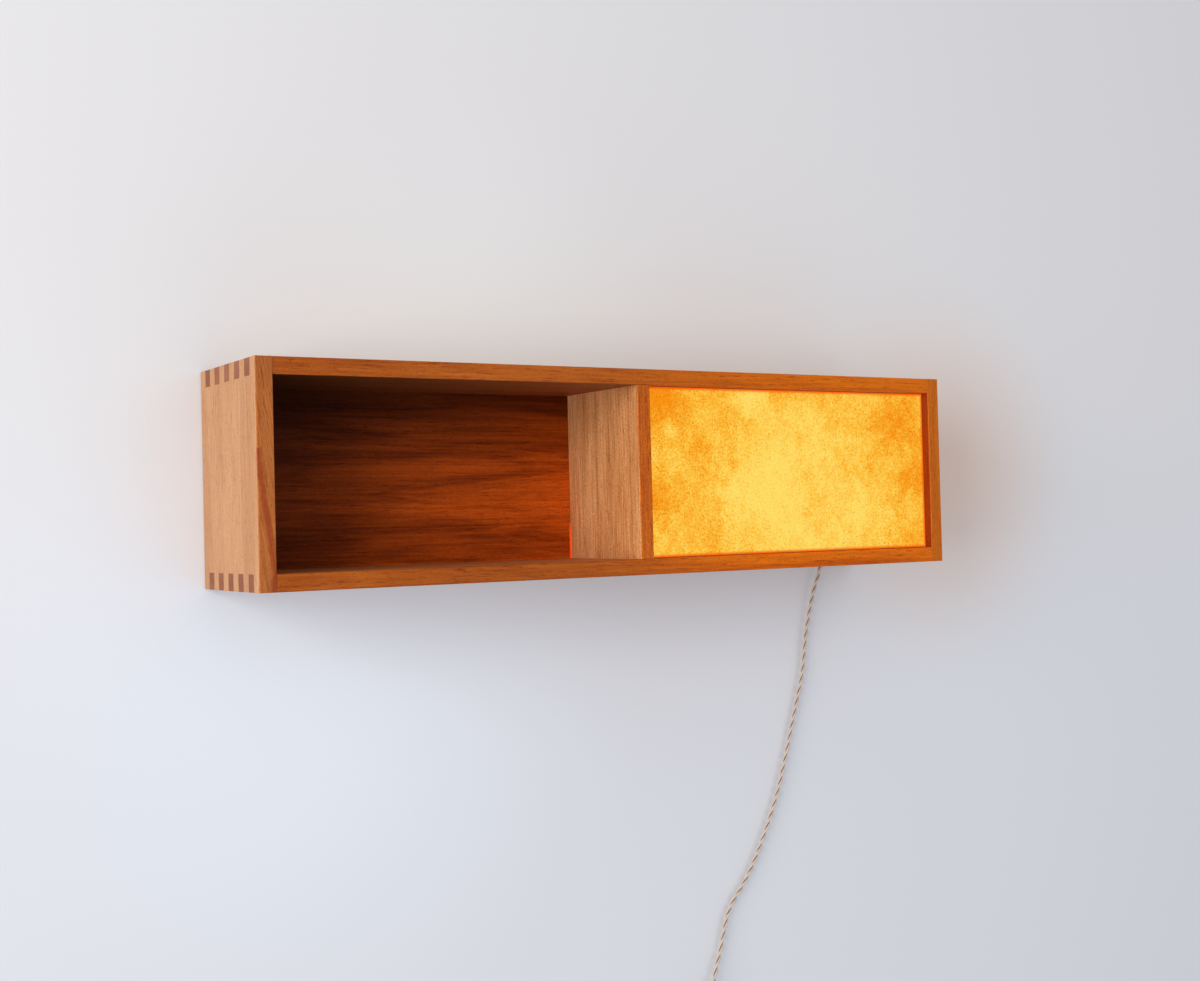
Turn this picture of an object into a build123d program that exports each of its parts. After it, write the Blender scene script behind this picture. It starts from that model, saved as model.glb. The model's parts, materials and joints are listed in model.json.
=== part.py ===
"""Wall-hung wooden box lamp: an open niche on the left, a light box with a parchment screen on the
right, a hanging cleat behind and a twisted cloth cord with a rocker switch and a plug.

Millimetres. X runs to the viewer's right, +Y into the wall, +Z up. The wall is the plane Y = 0, and
the origin is midway between the two wall screws of the cleat, on the wall."""

import os
from math import ceil, cos, pi, radians, sin, sqrt, tan

from build123d import *

# Box, read from the photograph
box_width = 800.0
box_height = 206.0
box_depth = 154.0
board = 16.0
screw_line_drop = 50.0  # the wall screws sit this far below the top of the box
finger_count = 11  # fingers over the depth, the first and last on the side boards
joint_gap = 0.1  # glue line beside each finger
arris = 0.8  # sanded front edges

# Divider between the niche and the light box
divider_thick = 15.0
divider_shift = 1.3  # its middle lies this far right of the box's middle
housing_depth = 5.0
housing_stop = 9.0  # the housings stop short of the front edge
divider_rear_gap = 0.4  # a thin line of light leaks past here

# Back panels and the space behind them
back_recess = 9.0
back_thick = 6.0
groove_depth = 4.0
panel_gap = 0.2
batten = 10.0
vent_count = 5
vent_width = 5.0
vent_length = 24.0
vent_pitch = 52.0
vent_edge = 22.0  # from the cover's bottom edge, or the wall cleat, to a row of vents

# Hanging cleats with mating 45 degree bevels
cleat_length = 700.0
cleat_drop = 17.0  # from the screw line down to the wall cleat's lower edge
hook_rise = 7.0  # from the screw line up to the root of the bevel
cleat_side_gap = 0.5
hook_play = 0.2
wall_screw_spacing = 406.0
wall_screw_hole_r = 2.5
wall_screw_head_r = 4.8

# Screen
screen_recess = 9.5
screen_gap = 0.5
parchment_thick = 0.5
pane_thick = 3.0
stop_width = 10.0
stop_thick = 8.0
brad_r = 0.7
brad_bite = 5.0  # how far a brad goes into the board
brad_clearance = 0.05
brads_per_stop = 3

# Screws
screw_r = 1.5
screw_head_r = 3.0
screw_head_thick = 1.8
screw_clearance = 0.1
cover_screw_length = 13.0
cleat_screw_length = 13.0
cleat_screw_count = 6
holder_screw_length = 15.0
holder_screw_head_r = 2.55

# Lampholders and bulbs, small screw base
holder_base_r = 21.0
holder_base_thick = 6.0
holder_body_r = 14.5
holder_length = 30.0
sleeve_r = 8.2
sleeve_wall = 0.8
sleeve_length = 20.0
holder_floor = 7.0  # solid behind the contact
holder_screw_circle_r = 17.8
contact_r = 3.0
contact_thick = 2.0
socket_clearance = 0.15
cap_r = 7.1
cap_length = 20.0
cap_wall = 0.5
cap_tip = 1.2
cap_tip_r = 2.6
bulb_r = 14.0
bulb_length = 112.0  # glass, from the cap's rim to its round end
glass_wall = 0.8
shoulder_length = 12.0
neck_inset = 5.0
stem_r = 2.2
filament_r = 0.9
filament_circle_r = 4.5
filament_start = 22.0
filament_length = 62.0
filament_disc_thick = 0.8

# Wiring
wire_r = 1.1
wire_spacing = 6.0
wire_bore_depth = 3.0
terminal_width = 34.0
terminal_depth = 22.0
terminal_height = 14.0
terminal_screw_r = 1.8
terminal_screw_length = 6.0
terminal_bore_depth = 5.0
terminal_mount_bite = 6.0
terminal_mount_inset = 16.5  # from the block's rear face to its fixing screw
terminal_setback = 79.0  # from the cord's hole forward to the block's rear face

# Cord
cord_d = 5.8
cord_bore_clearance = 0.15
cord_hole_clearance = 0.7
cord_exit_inset = 61.5  # from the box's right side to the cord's hole
cord_exit_y = -11.0
cord_notch_width = 9.0
cord_notch_height = 30.0
arc_share = 0.45  # of the shorter run that a bend's arc takes
cord_inside_rise = 37.0  # from the box's underside to the first bend inside
clamp_width = 8.0
clamp_wall = 1.3
clamp_foot = 6.5
clamp_screw_r = 1.2
clamp_screw_length = 8.0
clamp_lead = 7.0  # from the clamp to the terminal block

# Switch on the cord
switch_length = 60.0
switch_width = 26.0
switch_thick = 18.0
switch_wall = 1.8
switch_end_wall = 6.0
switch_corner = 8.0
switch_edge = 1.5
switch_split_gap = 0.1
rocker_length = 20.0
rocker_width = 12.0
rocker_gap = 0.3
rocker_pivot_depth = 3.6  # behind the switch's front face
rocker_back = 3.0
rocker_tilt = 7.0
pin_r = 1.0
pin_clearance = 0.05
ear_thick = 2.0
ear_half_height = 3.0
ear_behind_pin = 2.5
ear_root = 0.5  # sunk into the front wall
switch_contact_thick = 1.0
switch_contact_width = 4.0
switch_contact_length = 16.0
switch_screw_inset = 9.5
switch_screw_r = 1.1
switch_screw_head_r = 2.2
switch_screw_side = 7.4
switch_post_r = 2.9  # round each switch screw

# Coil of the unseen length, its tie and the plug
coil_turns = 7
coil_outer_r = 42.0
coil_pitch = 7.2
coil_layer = 7.1
coil_back_y = -5.2
lower_drop = 42.0  # from the switch down to the level of the coil's middle
tie_width = 8.0
tie_thick = 1.2
tie_gap = 0.4
plug_width = 25.0
plug_thick = 15.0
plug_length = 20.0
plug_corner = 4.0
plug_neck_length = 8.0
plug_neck_r = 4.6
plug_neck_base_r = 6.5
plug_bore_depth = 5.5
blade_spacing = 12.7
blade_width = 6.3
blade_thick = 1.5
blade_length = 17.0
blade_inset = 6.0
blade_clearance = 0.05

# Places worked out from the sizes above
half_width = box_width / 2
top_out = screw_line_drop
top_in = top_out - board
floor_out = top_out - box_height
floor_in = floor_out + board
inner_x = half_width - board
front_y = -box_depth
finger = box_depth / finger_count
divider_left = divider_shift - divider_thick / 2
divider_right = divider_shift + divider_thick / 2
back_rear_y = -back_recess
back_front_y = back_rear_y - back_thick
divider_rear_y = back_front_y - divider_rear_gap
parchment_y = front_y + screen_recess
pane_y = parchment_y + parchment_thick
stop_y = pane_y + pane_thick
stop_rear_y = stop_y + stop_thick
batten_y = back_front_y - batten
rail_bottom = hook_rise
lamp_z = (top_in + floor_in) / 2
lamp_y = (back_front_y + stop_rear_y) / 2
cord_r = cord_d / 2
cord_x = half_width - cord_exit_inset
cord_floor_z = floor_in + cord_r + cord_bore_clearance
terminal_rear_y = cord_exit_y - terminal_setback
coil_front_y = coil_back_y - coil_layer

# The cord's visible route, from the hole under the box to the switch, as the photograph shows it
upper_route = [
    (cord_x, cord_exit_y, floor_out),
    (cord_x, cord_exit_y, floor_out - 11),
    (cord_x - 8.5, cord_exit_y + 1.4, floor_out - 30),
    (cord_x - 17.5, cord_exit_y + 3.4, floor_out - 66),
    (cord_x - 23.3, cord_exit_y + 4.5, floor_out - 100),
    (cord_x - 25.7, cord_exit_y + 5.0, floor_out - 127),
    (cord_x - 37.0, cord_exit_y + 5.4, floor_out - 165),
    (cord_x - 52.5, cord_exit_y + 5.2, floor_out - 217),
    (cord_x - 68.5, cord_exit_y + 5.0, floor_out - 268),
    (cord_x - 93.0, cord_exit_y + 5.4, floor_out - 321),
    (cord_x - 116.5, cord_exit_y + 5.6, floor_out - 361),
    (cord_x - 144.5, cord_exit_y + 5.2, floor_out - 391),
    (cord_x - 154.5, cord_exit_y + 5.0, floor_out - 430),
    (cord_x - 167.5, cord_exit_y + 3.2, floor_out - 462),
    (cord_x - 172.5, coil_front_y, floor_out - 480),
    (cord_x - 172.5, coil_front_y, floor_out - 492),
]
switch_x, switch_y, switch_top = upper_route[-1]
switch_bottom = switch_top - switch_length
switch_front_y = switch_y - switch_thick / 2
rocker_y = switch_front_y + rocker_pivot_depth
rocker_z = switch_top - switch_length / 2
coil_x = switch_x - coil_outer_r
coil_z = switch_bottom - lower_drop

# The cord's route inside the box: up through the floor, forward over the batten, down to the clamp
inner_route = [
    (cord_x, cord_exit_y, floor_out),
    (cord_x, cord_exit_y, floor_out + cord_inside_rise),
    (cord_x, cord_exit_y - 29, floor_out + cord_inside_rise + 9),
    (cord_x, cord_exit_y - 53, cord_floor_z),
    (cord_x, terminal_rear_y - terminal_bore_depth, cord_floor_z),
]


def block(x0, x1, y0, y1, z0, z1):
    """A box between two corners, given in any order."""
    middle = Pos((x0 + x1) / 2, (y0 + y1) / 2, (z0 + z1) / 2)
    return middle * Box(abs(x1 - x0), abs(y1 - y0), abs(z1 - z0))


def rod(start, end, radius):
    """A round bar from one point to another."""
    start, end = Vector(start), Vector(end)
    return Solid.make_cylinder(radius, (end - start).length, Plane(start, z_dir=end - start))


def cone(start, end, start_radius, end_radius):
    start, end = Vector(start), Vector(end)
    plane = Plane(start, z_dir=end - start)
    return Solid.make_cone(start_radius, end_radius, (end - start).length, plane)


def save(name, *solids):
    """Writes one node, as a group where it holds several equal pieces."""
    pieces = [s for shape in solids for s in shape.solids()]
    shape = pieces[0] if len(pieces) == 1 else Compound(children=pieces)
    export_step(shape, f"parts/{name}.step")


def spread(low, high, count):
    """Places of count things, evenly spaced, half a step in from both ends."""
    step = (high - low) / count
    return [low + step * (i + 0.5) for i in range(count)]


def pan_screw(head, tip, radius=screw_r, head_radius=screw_head_r):
    """A screw whose head stands on the surface at head, with its tip at tip."""
    head, tip = Vector(head), Vector(tip)
    back = (head - tip).normalized()
    return rod(head, tip, radius) + rod(head, head + back * screw_head_thick, head_radius)


def flat_screw(head, tip, radius=screw_r, head_radius=screw_head_r, extra=0.0):
    """A countersunk screw, its head flush at head. extra widens it to a cutter for its hole."""
    head, tip = Vector(head), Vector(tip)
    forward = (tip - head).normalized()
    sink = head + forward * (head_radius - radius)
    shank = rod(head, tip + forward * extra, radius + extra)
    return shank + cone(head, sink, head_radius + extra, radius + extra)


# The wooden box
def finger_cut(index, x0, x1, z0, z1, gap):
    """The space of one finger, counted from the front, wider by gap on each side that joins."""
    y0 = front_y + finger * index - (gap if index > 0 else 1)
    y1 = front_y + finger * (index + 1) + (gap if index < finger_count - 1 else 1)
    return block(x0, x1, y0, y1, z0, z1)


def front_edges(shape, axis):
    """Edges that lie in the front plane and run along one axis."""
    along = shape.edges().filter_by(axis)
    return [e for e in along if abs(e.center().Y - front_y) < 1e-6]


def brad_places():
    """Each brad as (head, tip), with the stop it goes through."""
    reach = stop_width + brad_bite
    y = (stop_y + stop_rear_y) / 2
    places = []
    for x in spread(divider_right, inner_x, brads_per_stop):
        places.append(("top", (x, y, top_in - stop_width), (x, y, top_in - stop_width + reach)))
        places.append(("bottom", (x, y, floor_in + stop_width), (x, y, floor_in + stop_width - reach)))
    low, high = floor_in + stop_width, top_in - stop_width
    for z in spread(low, high, brads_per_stop):
        left, right = divider_right + stop_width, inner_x - stop_width
        places.append(("left", (left, y, z), (left - reach, y, z)))
        places.append(("right", (right, y, z), (right + reach, y, z)))
    return places


def drill_brads(shape, stop):
    for name, head, tip in brad_places():
        if name == stop:
            shape -= rod(head, tip, brad_r + brad_clearance)
    return shape


def side_board(sign):
    """A side board with its fingers at both ends, and a groove for the back panels."""
    outer, inner = sign * half_width, sign * inner_x
    shape = block(outer, inner, front_y, 0, floor_out, top_out)
    for index in range(1, finger_count, 2):
        shape -= finger_cut(index, outer, inner, top_in, top_out + 1, 0)
        shape -= finger_cut(index, outer, inner, floor_out - 1, floor_in, 0)
    shape = chamfer(front_edges(shape, Axis.Z), arris)
    groove_low = floor_in if sign < 0 else rail_bottom
    groove_x = inner + sign * (groove_depth + panel_gap)
    shape -= block(inner, groove_x, back_front_y - panel_gap / 2, back_rear_y + panel_gap / 2,
                   groove_low, top_in)
    return shape


def long_board(z_in, z_out):
    """The top or bottom board: fingers at both ends, a stopped housing and the panel's groove."""
    low, high = min(z_in, z_out), max(z_in, z_out)
    shape = block(-half_width, half_width, front_y, 0, low, high)
    for sign in (-1, 1):
        for index in range(0, finger_count, 2):
            shape -= finger_cut(index, sign * inner_x, sign * (half_width + 1), low - 1, high + 1,
                                joint_gap)
    shape = chamfer(front_edges(shape, Axis.X), arris)
    outward = 1 if z_out > z_in else -1
    shape -= block(divider_left - joint_gap, divider_right + joint_gap, front_y + housing_stop,
                   divider_rear_y, z_in, z_in + outward * (housing_depth + joint_gap))
    groove_end = inner_x if outward > 0 else divider_shift
    shape -= block(-inner_x, groove_end, back_front_y - panel_gap / 2, back_rear_y + panel_gap / 2,
                   z_in, z_in + outward * (groove_depth + panel_gap))
    return shape


def divider():
    """The upright between niche and light box, tongued into both housings."""
    shape = block(divider_left, divider_right, front_y, divider_rear_y, floor_in, top_in)
    shape = chamfer(front_edges(shape, Axis.Z), arris)
    tongue_front = front_y + housing_stop + joint_gap
    return shape + block(divider_left, divider_right, tongue_front, divider_rear_y,
                         floor_in - housing_depth, top_in + housing_depth)


def niche_back():
    """The niche's back panel, held in grooves, its corners notched beside the finger joints."""
    right = divider_shift - panel_gap
    wide = block(-inner_x - groove_depth, right, back_front_y, back_rear_y, floor_in, top_in)
    tall = block(-inner_x, right, back_front_y, back_rear_y, floor_in - groove_depth,
                 top_in + groove_depth)
    return wide + tall


def light_rail():
    """The strip behind the light box's top, fixed in its grooves above the loose cover."""
    left = divider_shift + panel_gap
    wide = block(left, inner_x + groove_depth, back_front_y, back_rear_y, rail_bottom, top_in)
    return wide + block(left, inner_x, back_front_y, back_rear_y, rail_bottom,
                        top_in + groove_depth)


cover_left = divider_shift + panel_gap
cover_right = inner_x - panel_gap
cover_bottom = floor_in + panel_gap
cover_top = rail_bottom - panel_gap


def cover_screw_places():
    """Screws down both edges of the cover, all below the wall cleat's path."""
    left = (divider_shift + divider_right) / 2
    right = inner_x - batten / 2
    heights = spread(floor_in, -cleat_drop - batten, 3)
    return [(x, z) for x in (left, right) for z in heights]


def light_cover():
    """The light box's removable back, with vents and a notch round the cord."""
    shape = block(cover_left, cover_right, back_front_y, back_rear_y, cover_bottom, cover_top)
    middle = (cover_left + cover_right) / 2
    for z in (-cleat_drop - vent_edge, cover_bottom + vent_edge):
        for i in range(vent_count):
            x = middle + vent_pitch * (i - (vent_count - 1) / 2)
            half = (vent_length - vent_width) / 2
            for end in (-half, half):
                shape -= rod((x + end, back_front_y - 1, z), (x + end, back_rear_y + 1, z),
                             vent_width / 2)
            shape -= block(x - half, x + half, back_front_y - 1, back_rear_y + 1,
                           z - vent_width / 2, z + vent_width / 2)
    half = cord_notch_width / 2
    crown = cover_bottom + cord_notch_height - half
    shape -= block(cord_x - half, cord_x + half, back_front_y - 1, back_rear_y + 1,
                   cover_bottom - 1, crown)
    shape -= rod((cord_x, back_front_y - 1, crown), (cord_x, back_rear_y + 1, crown), half)
    return drill_cover_screws(shape)


def cover_screw(x, z):
    return pan_screw((x, back_rear_y, z), (x, back_rear_y - cover_screw_length, z))


def drill_cover_screws(shape):
    for x, z in cover_screw_places():
        shape -= rod((x, back_rear_y + 1, z), (x, back_rear_y - cover_screw_length - screw_clearance, z),
                     screw_r + screw_clearance)
    return shape


# The hanging cleats
def bevelled_strip(x0, x1, outline):
    """A strip along X whose section is an outline of (y, z) points."""
    section = Plane.YZ.offset(x0) * make_face(Polyline(*outline, close=True))
    return extrude(section, amount=x1 - x0, dir=(1, 0, 0))


def cleat_screw_places():
    return [(x, (top_in + hook_rise + back_recess) / 2)
            for x in spread(-inner_x, inner_x, cleat_screw_count)]


def cleat_screw(x, z, extra=0.0):
    head_y = -cleat_side_gap
    return flat_screw((x, head_y, z), (x, head_y - cleat_screw_length, z), extra=extra)


def drill_cleat_screws(shape):
    for x, z in cleat_screw_places():
        shape -= cleat_screw(x, z, extra=screw_clearance)
    return shape


def box_cleat():
    """The strip fixed inside the back of the box, hooked over the wall cleat."""
    rear, front = -cleat_side_gap, -back_recess
    outline = [(rear, top_in), (rear, hook_rise + hook_play - rear),
               (front, hook_rise + hook_play - front), (front, top_in)]
    return drill_cleat_screws(bevelled_strip(-inner_x, inner_x, outline))


def wall_cleat():
    """The strip screwed to the wall, bevelled so that the box's strip hooks behind it."""
    front = -back_recess + cleat_side_gap
    outline = [(0, -cleat_drop), (0, hook_rise), (front, hook_rise - front), (front, -cleat_drop)]
    shape = bevelled_strip(-cleat_length / 2, cleat_length / 2, outline)
    for sign in (-1, 1):
        x = sign * wall_screw_spacing / 2
        shape -= rod((x, 1, 0), (x, front - 1, 0), wall_screw_hole_r)
        sink = wall_screw_head_r - wall_screw_hole_r
        shape -= cone((x, front, 0), (x, front + sink, 0), wall_screw_head_r, wall_screw_hole_r)
    return shape


# The screen and its stops
def screen_sheet(y, thickness):
    return block(divider_right + screen_gap, inner_x - screen_gap, y, y + thickness,
                 floor_in + screen_gap, top_in - screen_gap)


def stop_strip(name):
    low, high = floor_in + stop_width, top_in - stop_width
    x0, x1, z0, z1 = {
        "top": (divider_right, inner_x, high, top_in),
        "bottom": (divider_right, inner_x, floor_in, low),
        "left": (divider_right, divider_right + stop_width, low, high),
        "right": (inner_x - stop_width, inner_x, low, high),
    }[name]
    return drill_brads(block(x0, x1, stop_y, stop_rear_y, z0, z1), name)


# Lampholders, bulbs and wires: each lamp stands on the plane X = wall_x and points along sign
def along(wall_x, sign, distance):
    return (wall_x + sign * distance, lamp_y, lamp_z)


def holder_screws(wall_x, sign):
    """Two screws through the base, above and below, as (head, tip)."""
    places = []
    for side in (-1, 1):
        z = lamp_z + side * holder_screw_circle_r * cos(pi / 4)
        y = lamp_y + side * holder_screw_circle_r * sin(pi / 4)
        head = (wall_x + sign * holder_base_thick, y, z)
        places.append((head, (head[0] - sign * holder_screw_length, y, z)))
    return places


def drill_holder_screws(shape, wall_x, sign):
    for head, tip in holder_screws(wall_x, sign):
        shape -= rod(head, tip, screw_r + screw_clearance)
    return shape


def lampholder(wall_x, sign):
    shape = rod(along(wall_x, sign, 0), along(wall_x, sign, holder_base_thick), holder_base_r)
    shape += rod(along(wall_x, sign, 0), along(wall_x, sign, holder_length), holder_body_r)
    shape -= rod(along(wall_x, sign, holder_floor), along(wall_x, sign, holder_length + 1),
                 sleeve_r + socket_clearance)
    for start in wire_starts(wall_x, sign):
        below = (start[0], start[1], lamp_z - holder_base_r - 1)
        shape -= rod(start, below, wire_r + socket_clearance)
    return drill_holder_screws(shape, wall_x, sign)


def socket_sleeve(wall_x, sign):
    start = holder_length - sleeve_length
    shape = rod(along(wall_x, sign, start), along(wall_x, sign, holder_length), sleeve_r)
    return shape - rod(along(wall_x, sign, start - 1), along(wall_x, sign, holder_length + 1),
                       sleeve_r - sleeve_wall)


cap_start = holder_floor + contact_thick + cap_tip


def socket_contact(wall_x, sign):
    return rod(along(wall_x, sign, holder_floor), along(wall_x, sign, holder_floor + contact_thick),
               contact_r)


def bulb_cap(wall_x, sign):
    tip = cap_start - cap_tip
    shape = rod(along(wall_x, sign, cap_start), along(wall_x, sign, cap_start + cap_length), cap_r)
    shape += rod(along(wall_x, sign, tip), along(wall_x, sign, cap_start + cap_tip), cap_tip_r)
    return shape - rod(along(wall_x, sign, cap_start + 2 * cap_wall),
                       along(wall_x, sign, cap_start + cap_length + 1), cap_r - cap_wall)


def glass_form(wall_x, sign, inset):
    """The bulb's outer form, or with an inset its hollow."""
    rim = cap_start + cap_length
    neck_r = cap_r - cap_wall - socket_clearance
    full, neck = bulb_r - inset, neck_r - inset
    round_end = rim + bulb_length - bulb_r
    start = rim - neck_inset - inset
    shape = rod(along(wall_x, sign, start), along(wall_x, sign, rim), neck)
    shape += cone(along(wall_x, sign, rim), along(wall_x, sign, rim + shoulder_length), neck, full)
    shape += rod(along(wall_x, sign, rim + shoulder_length), along(wall_x, sign, round_end), full)
    return shape + Pos(along(wall_x, sign, round_end)) * Sphere(full)


def bulb_glass(wall_x, sign):
    return glass_form(wall_x, sign, 0) - glass_form(wall_x, sign, glass_wall)


def bulb_filament(wall_x, sign):
    """Four glowing rods between two discs on a stem that stands in the bulb's neck."""
    rim = cap_start + cap_length
    foot_r = cap_r - cap_wall - socket_clearance - glass_wall - socket_clearance
    foot, first = rim - neck_inset, rim + filament_start
    last = first + filament_length
    shape = rod(along(wall_x, sign, foot), along(wall_x, sign, foot + filament_disc_thick), foot_r)
    shape += rod(along(wall_x, sign, foot), along(wall_x, sign, first), stem_r)
    for place in (first - filament_disc_thick, last):
        shape += rod(along(wall_x, sign, place),
                     along(wall_x, sign, place + filament_disc_thick),
                     filament_circle_r + 2 * filament_r)
    for quarter in range(4):
        angle = pi / 4 + quarter * pi / 2
        y = lamp_y + filament_circle_r * cos(angle)
        z = lamp_z + filament_circle_r * sin(angle)
        shape += rod((wall_x + sign * first, y, z), (wall_x + sign * last, y, z), filament_r)
    return shape


def wire_starts(wall_x, sign):
    """Where the two wires enter the base, inside its lower rim."""
    rim = holder_base_r * cos(wire_spacing / 2 / holder_base_r)
    z = lamp_z - rim + wire_bore_depth
    x = wall_x + sign * holder_base_thick / 2
    return [(x, lamp_y + side * wire_spacing / 2, z) for side in (-1, 1)]


def rounded_path(points, least):
    """Straight runs joined by tangent arcs, each as large as its two runs allow."""
    points = [Vector(p) for p in points]
    radii = []
    for before, at, after in zip(points, points[1:], points[2:]):
        run_in, run_out = at - before, after - at
        half_turn = radians(run_in.get_angle(run_out)) / 2
        radii.append(arc_share * min(run_in.length, run_out.length) / tan(half_turn))
    assert min(radii) >= least, f"tight bend of {min(radii):.1f}"
    return FilletPolyline(*points, radius=radii), radii


def tube(path, radius):
    """A round tube along a path, with the volume that its section and length give."""
    start = path @ 0
    section = Plane(start, z_dir=path % 0) * Circle(radius)
    shape = sweep(section, path=path)
    expected = pi * radius**2 * path.length
    return shape, shape.volume / expected


def lamp_wires(wall_x, sign):
    wires = []
    low = floor_in + wire_r + socket_clearance
    side_x = cord_x - sign * terminal_width / 2
    for start in wire_starts(wall_x, sign):
        side = 1 if start[1] > lamp_y else -1
        end_y = terminal_rear_y - terminal_depth / 2 + side * wire_spacing / 2
        lead = terminal_width / 4
        route = [
            start,
            (start[0], start[1], low),
            (side_x - sign * lead, end_y, low),
            (side_x + sign * terminal_bore_depth, end_y, low),
        ]
        path, _ = rounded_path(route, 3 * wire_r)
        wires.append(tube(path, wire_r)[0])
    return wires


# Terminal block and cord clamp
def terminal_screw_places():
    """Clamp screws in the top, one for each wire, and their (x, y)."""
    middle = terminal_rear_y - terminal_depth / 2
    return [(cord_x + sx * terminal_width / 3, middle + sy * wire_spacing / 2)
            for sx in (-1, 1) for sy in (-1, 1)]


def terminal_top_screws():
    top = floor_in + terminal_height
    screws = []
    for x, y in terminal_screw_places():
        screws.append(rod((x, y, top - terminal_screw_length), (x, y, top - 1), terminal_screw_r))
    screws.append(terminal_mount_screw())
    return screws


def terminal_mount_screw(extra=0.0):
    """The screw that holds the block down, or with extra the cutter for its hole."""
    y = terminal_rear_y - terminal_mount_inset
    head = (cord_x, y, floor_in + terminal_height)
    tip = (cord_x, y, floor_in - terminal_mount_bite)
    return flat_screw(head, tip, terminal_screw_r, 2 * terminal_screw_r, extra)


def terminal_block():
    front = terminal_rear_y - terminal_depth
    left, right = cord_x - terminal_width / 2, cord_x + terminal_width / 2
    top = floor_in + terminal_height
    shape = block(left, right, front, terminal_rear_y, floor_in, top)
    shape = chamfer(shape.edges().filter_by(Axis.Z), 1)
    shape -= rod((cord_x, terminal_rear_y + 1, cord_floor_z),
                 (cord_x, terminal_rear_y - terminal_bore_depth, cord_floor_z),
                 cord_r + cord_bore_clearance)
    low = floor_in + wire_r + socket_clearance
    for x, y in terminal_screw_places():
        side = 1 if x > cord_x else -1
        edge = cord_x + side * terminal_width / 2
        shape -= rod((edge + side, y, low), (edge - side * terminal_bore_depth, y, low),
                     wire_r + socket_clearance / 2)
        shape -= rod((x, y, top - terminal_screw_length), (x, y, top + 1),
                     terminal_screw_r + screw_clearance)
    return shape - terminal_mount_screw(screw_clearance)


clamp_y = terminal_rear_y + clamp_lead


def clamp_screw_places():
    reach = cord_r + cord_bore_clearance + clamp_wall + clamp_foot / 2
    return [(cord_x - reach, clamp_y + clamp_width / 2), (cord_x + reach, clamp_y + clamp_width / 2)]


def drill_clamp_screws(shape):
    for x, y in clamp_screw_places():
        top = floor_in + clamp_wall
        shape -= rod((x, y, top), (x, y, top - clamp_screw_length), clamp_screw_r + screw_clearance)
    return shape


def cord_clamp():
    """A saddle over the cord, with a foot each side."""
    inner_r = cord_r + cord_bore_clearance
    outer_r = inner_r + clamp_wall
    reach = outer_r + clamp_foot
    front, rear = clamp_y, clamp_y + clamp_width
    shape = block(cord_x - reach, cord_x + reach, front, rear, floor_in, floor_in + clamp_wall)
    shape += rod((cord_x, front, cord_floor_z), (cord_x, rear, cord_floor_z), outer_r)
    shape += block(cord_x - outer_r, cord_x + outer_r, front, rear, floor_in, cord_floor_z)
    shape -= rod((cord_x, front - 1, cord_floor_z), (cord_x, rear + 1, cord_floor_z), inner_r)
    shape -= block(cord_x - inner_r, cord_x + inner_r, front - 1, rear + 1, floor_in - outer_r,
                   cord_floor_z)
    shape -= block(cord_x - reach, cord_x + reach, front, rear, floor_in - outer_r, floor_in)
    return drill_clamp_screws(shape)


def clamp_screws():
    top = floor_in + clamp_wall
    return [pan_screw((x, y, top), (x, y, top - clamp_screw_length), clamp_screw_r,
                      2 * clamp_screw_r) for x, y in clamp_screw_places()]


# The switch on the cord
def switch_case(inset, end):
    """A rounded block round the cord's axis, smaller by inset at the sides and end at the ends."""
    size = (switch_width - 2 * inset, switch_thick - 2 * inset, switch_length - 2 * end)
    shape = Pos(switch_x, switch_y, rocker_z) * Box(*size)
    return fillet(shape.edges().filter_by(Axis.Y), max(switch_corner - max(inset, end), 1.0))


def switch_screw_places():
    return [(switch_x + side * switch_screw_side, rocker_z + side * (switch_length / 2 - switch_screw_inset))
            for side in (-1, 1)]


def switch_screw(x, z, extra=0.0):
    rear = switch_y + switch_thick / 2
    return flat_screw((x, rear, z), (x, switch_front_y + 2 * switch_wall, z), switch_screw_r,
                      switch_screw_head_r, extra)


def switch_shell(front):
    """One half of the switch's case, with half of each cord bore."""
    shape = switch_case(0, 0)
    outer = shape.edges().group_by(Axis.Y)
    shape = fillet(outer[0] + outer[-1], switch_edge)
    cavity = switch_case(switch_wall, switch_end_wall)
    for x, z in switch_screw_places():
        cavity -= rod((x, switch_front_y, z), (x, switch_y + switch_thick / 2, z), switch_post_r)
    shape -= cavity
    shape -= rod((switch_x, switch_y, switch_top + 1), (switch_x, switch_y, switch_bottom - 1),
                 cord_r + cord_bore_clearance)
    half = switch_split_gap / 2
    if front:
        shape -= block(switch_x - switch_width, switch_x + switch_width, switch_y - half,
                       switch_y + switch_thick, switch_bottom - 1, switch_top + 1)
        shape = add_rocker_window(shape)
    else:
        shape -= block(switch_x - switch_width, switch_x + switch_width, switch_y + half,
                       switch_y - switch_thick, switch_bottom - 1, switch_top + 1)
    for x, z in switch_screw_places():
        shape -= switch_screw(x, z, extra=screw_clearance)
    return shape


def add_rocker_window(shape):
    """The window in the front half, and the two ears that carry the rocker's pin."""
    half_w = rocker_width / 2 + rocker_gap
    half_l = rocker_length / 2 + rocker_gap
    inner_y = switch_front_y + switch_wall
    for side in (-1, 1):
        near = switch_x + side * half_w
        shape += block(near, near + side * ear_thick, inner_y - ear_root, rocker_y + ear_behind_pin,
                       rocker_z - ear_half_height, rocker_z + ear_half_height)
    shape -= block(switch_x - half_w, switch_x + half_w, switch_front_y - 1,
                   inner_y + 0.1, rocker_z - half_l, rocker_z + half_l)
    pin = pin_end()
    return shape - rod((switch_x - pin, rocker_y, rocker_z), (switch_x + pin, rocker_y, rocker_z),
                       pin_r + pin_clearance / 2)


def pin_end():
    return rocker_width / 2 + rocker_gap + ear_thick


def rocker_pin():
    pin = pin_end()
    return rod((switch_x - pin, rocker_y, rocker_z), (switch_x + pin, rocker_y, rocker_z), pin_r)


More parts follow.
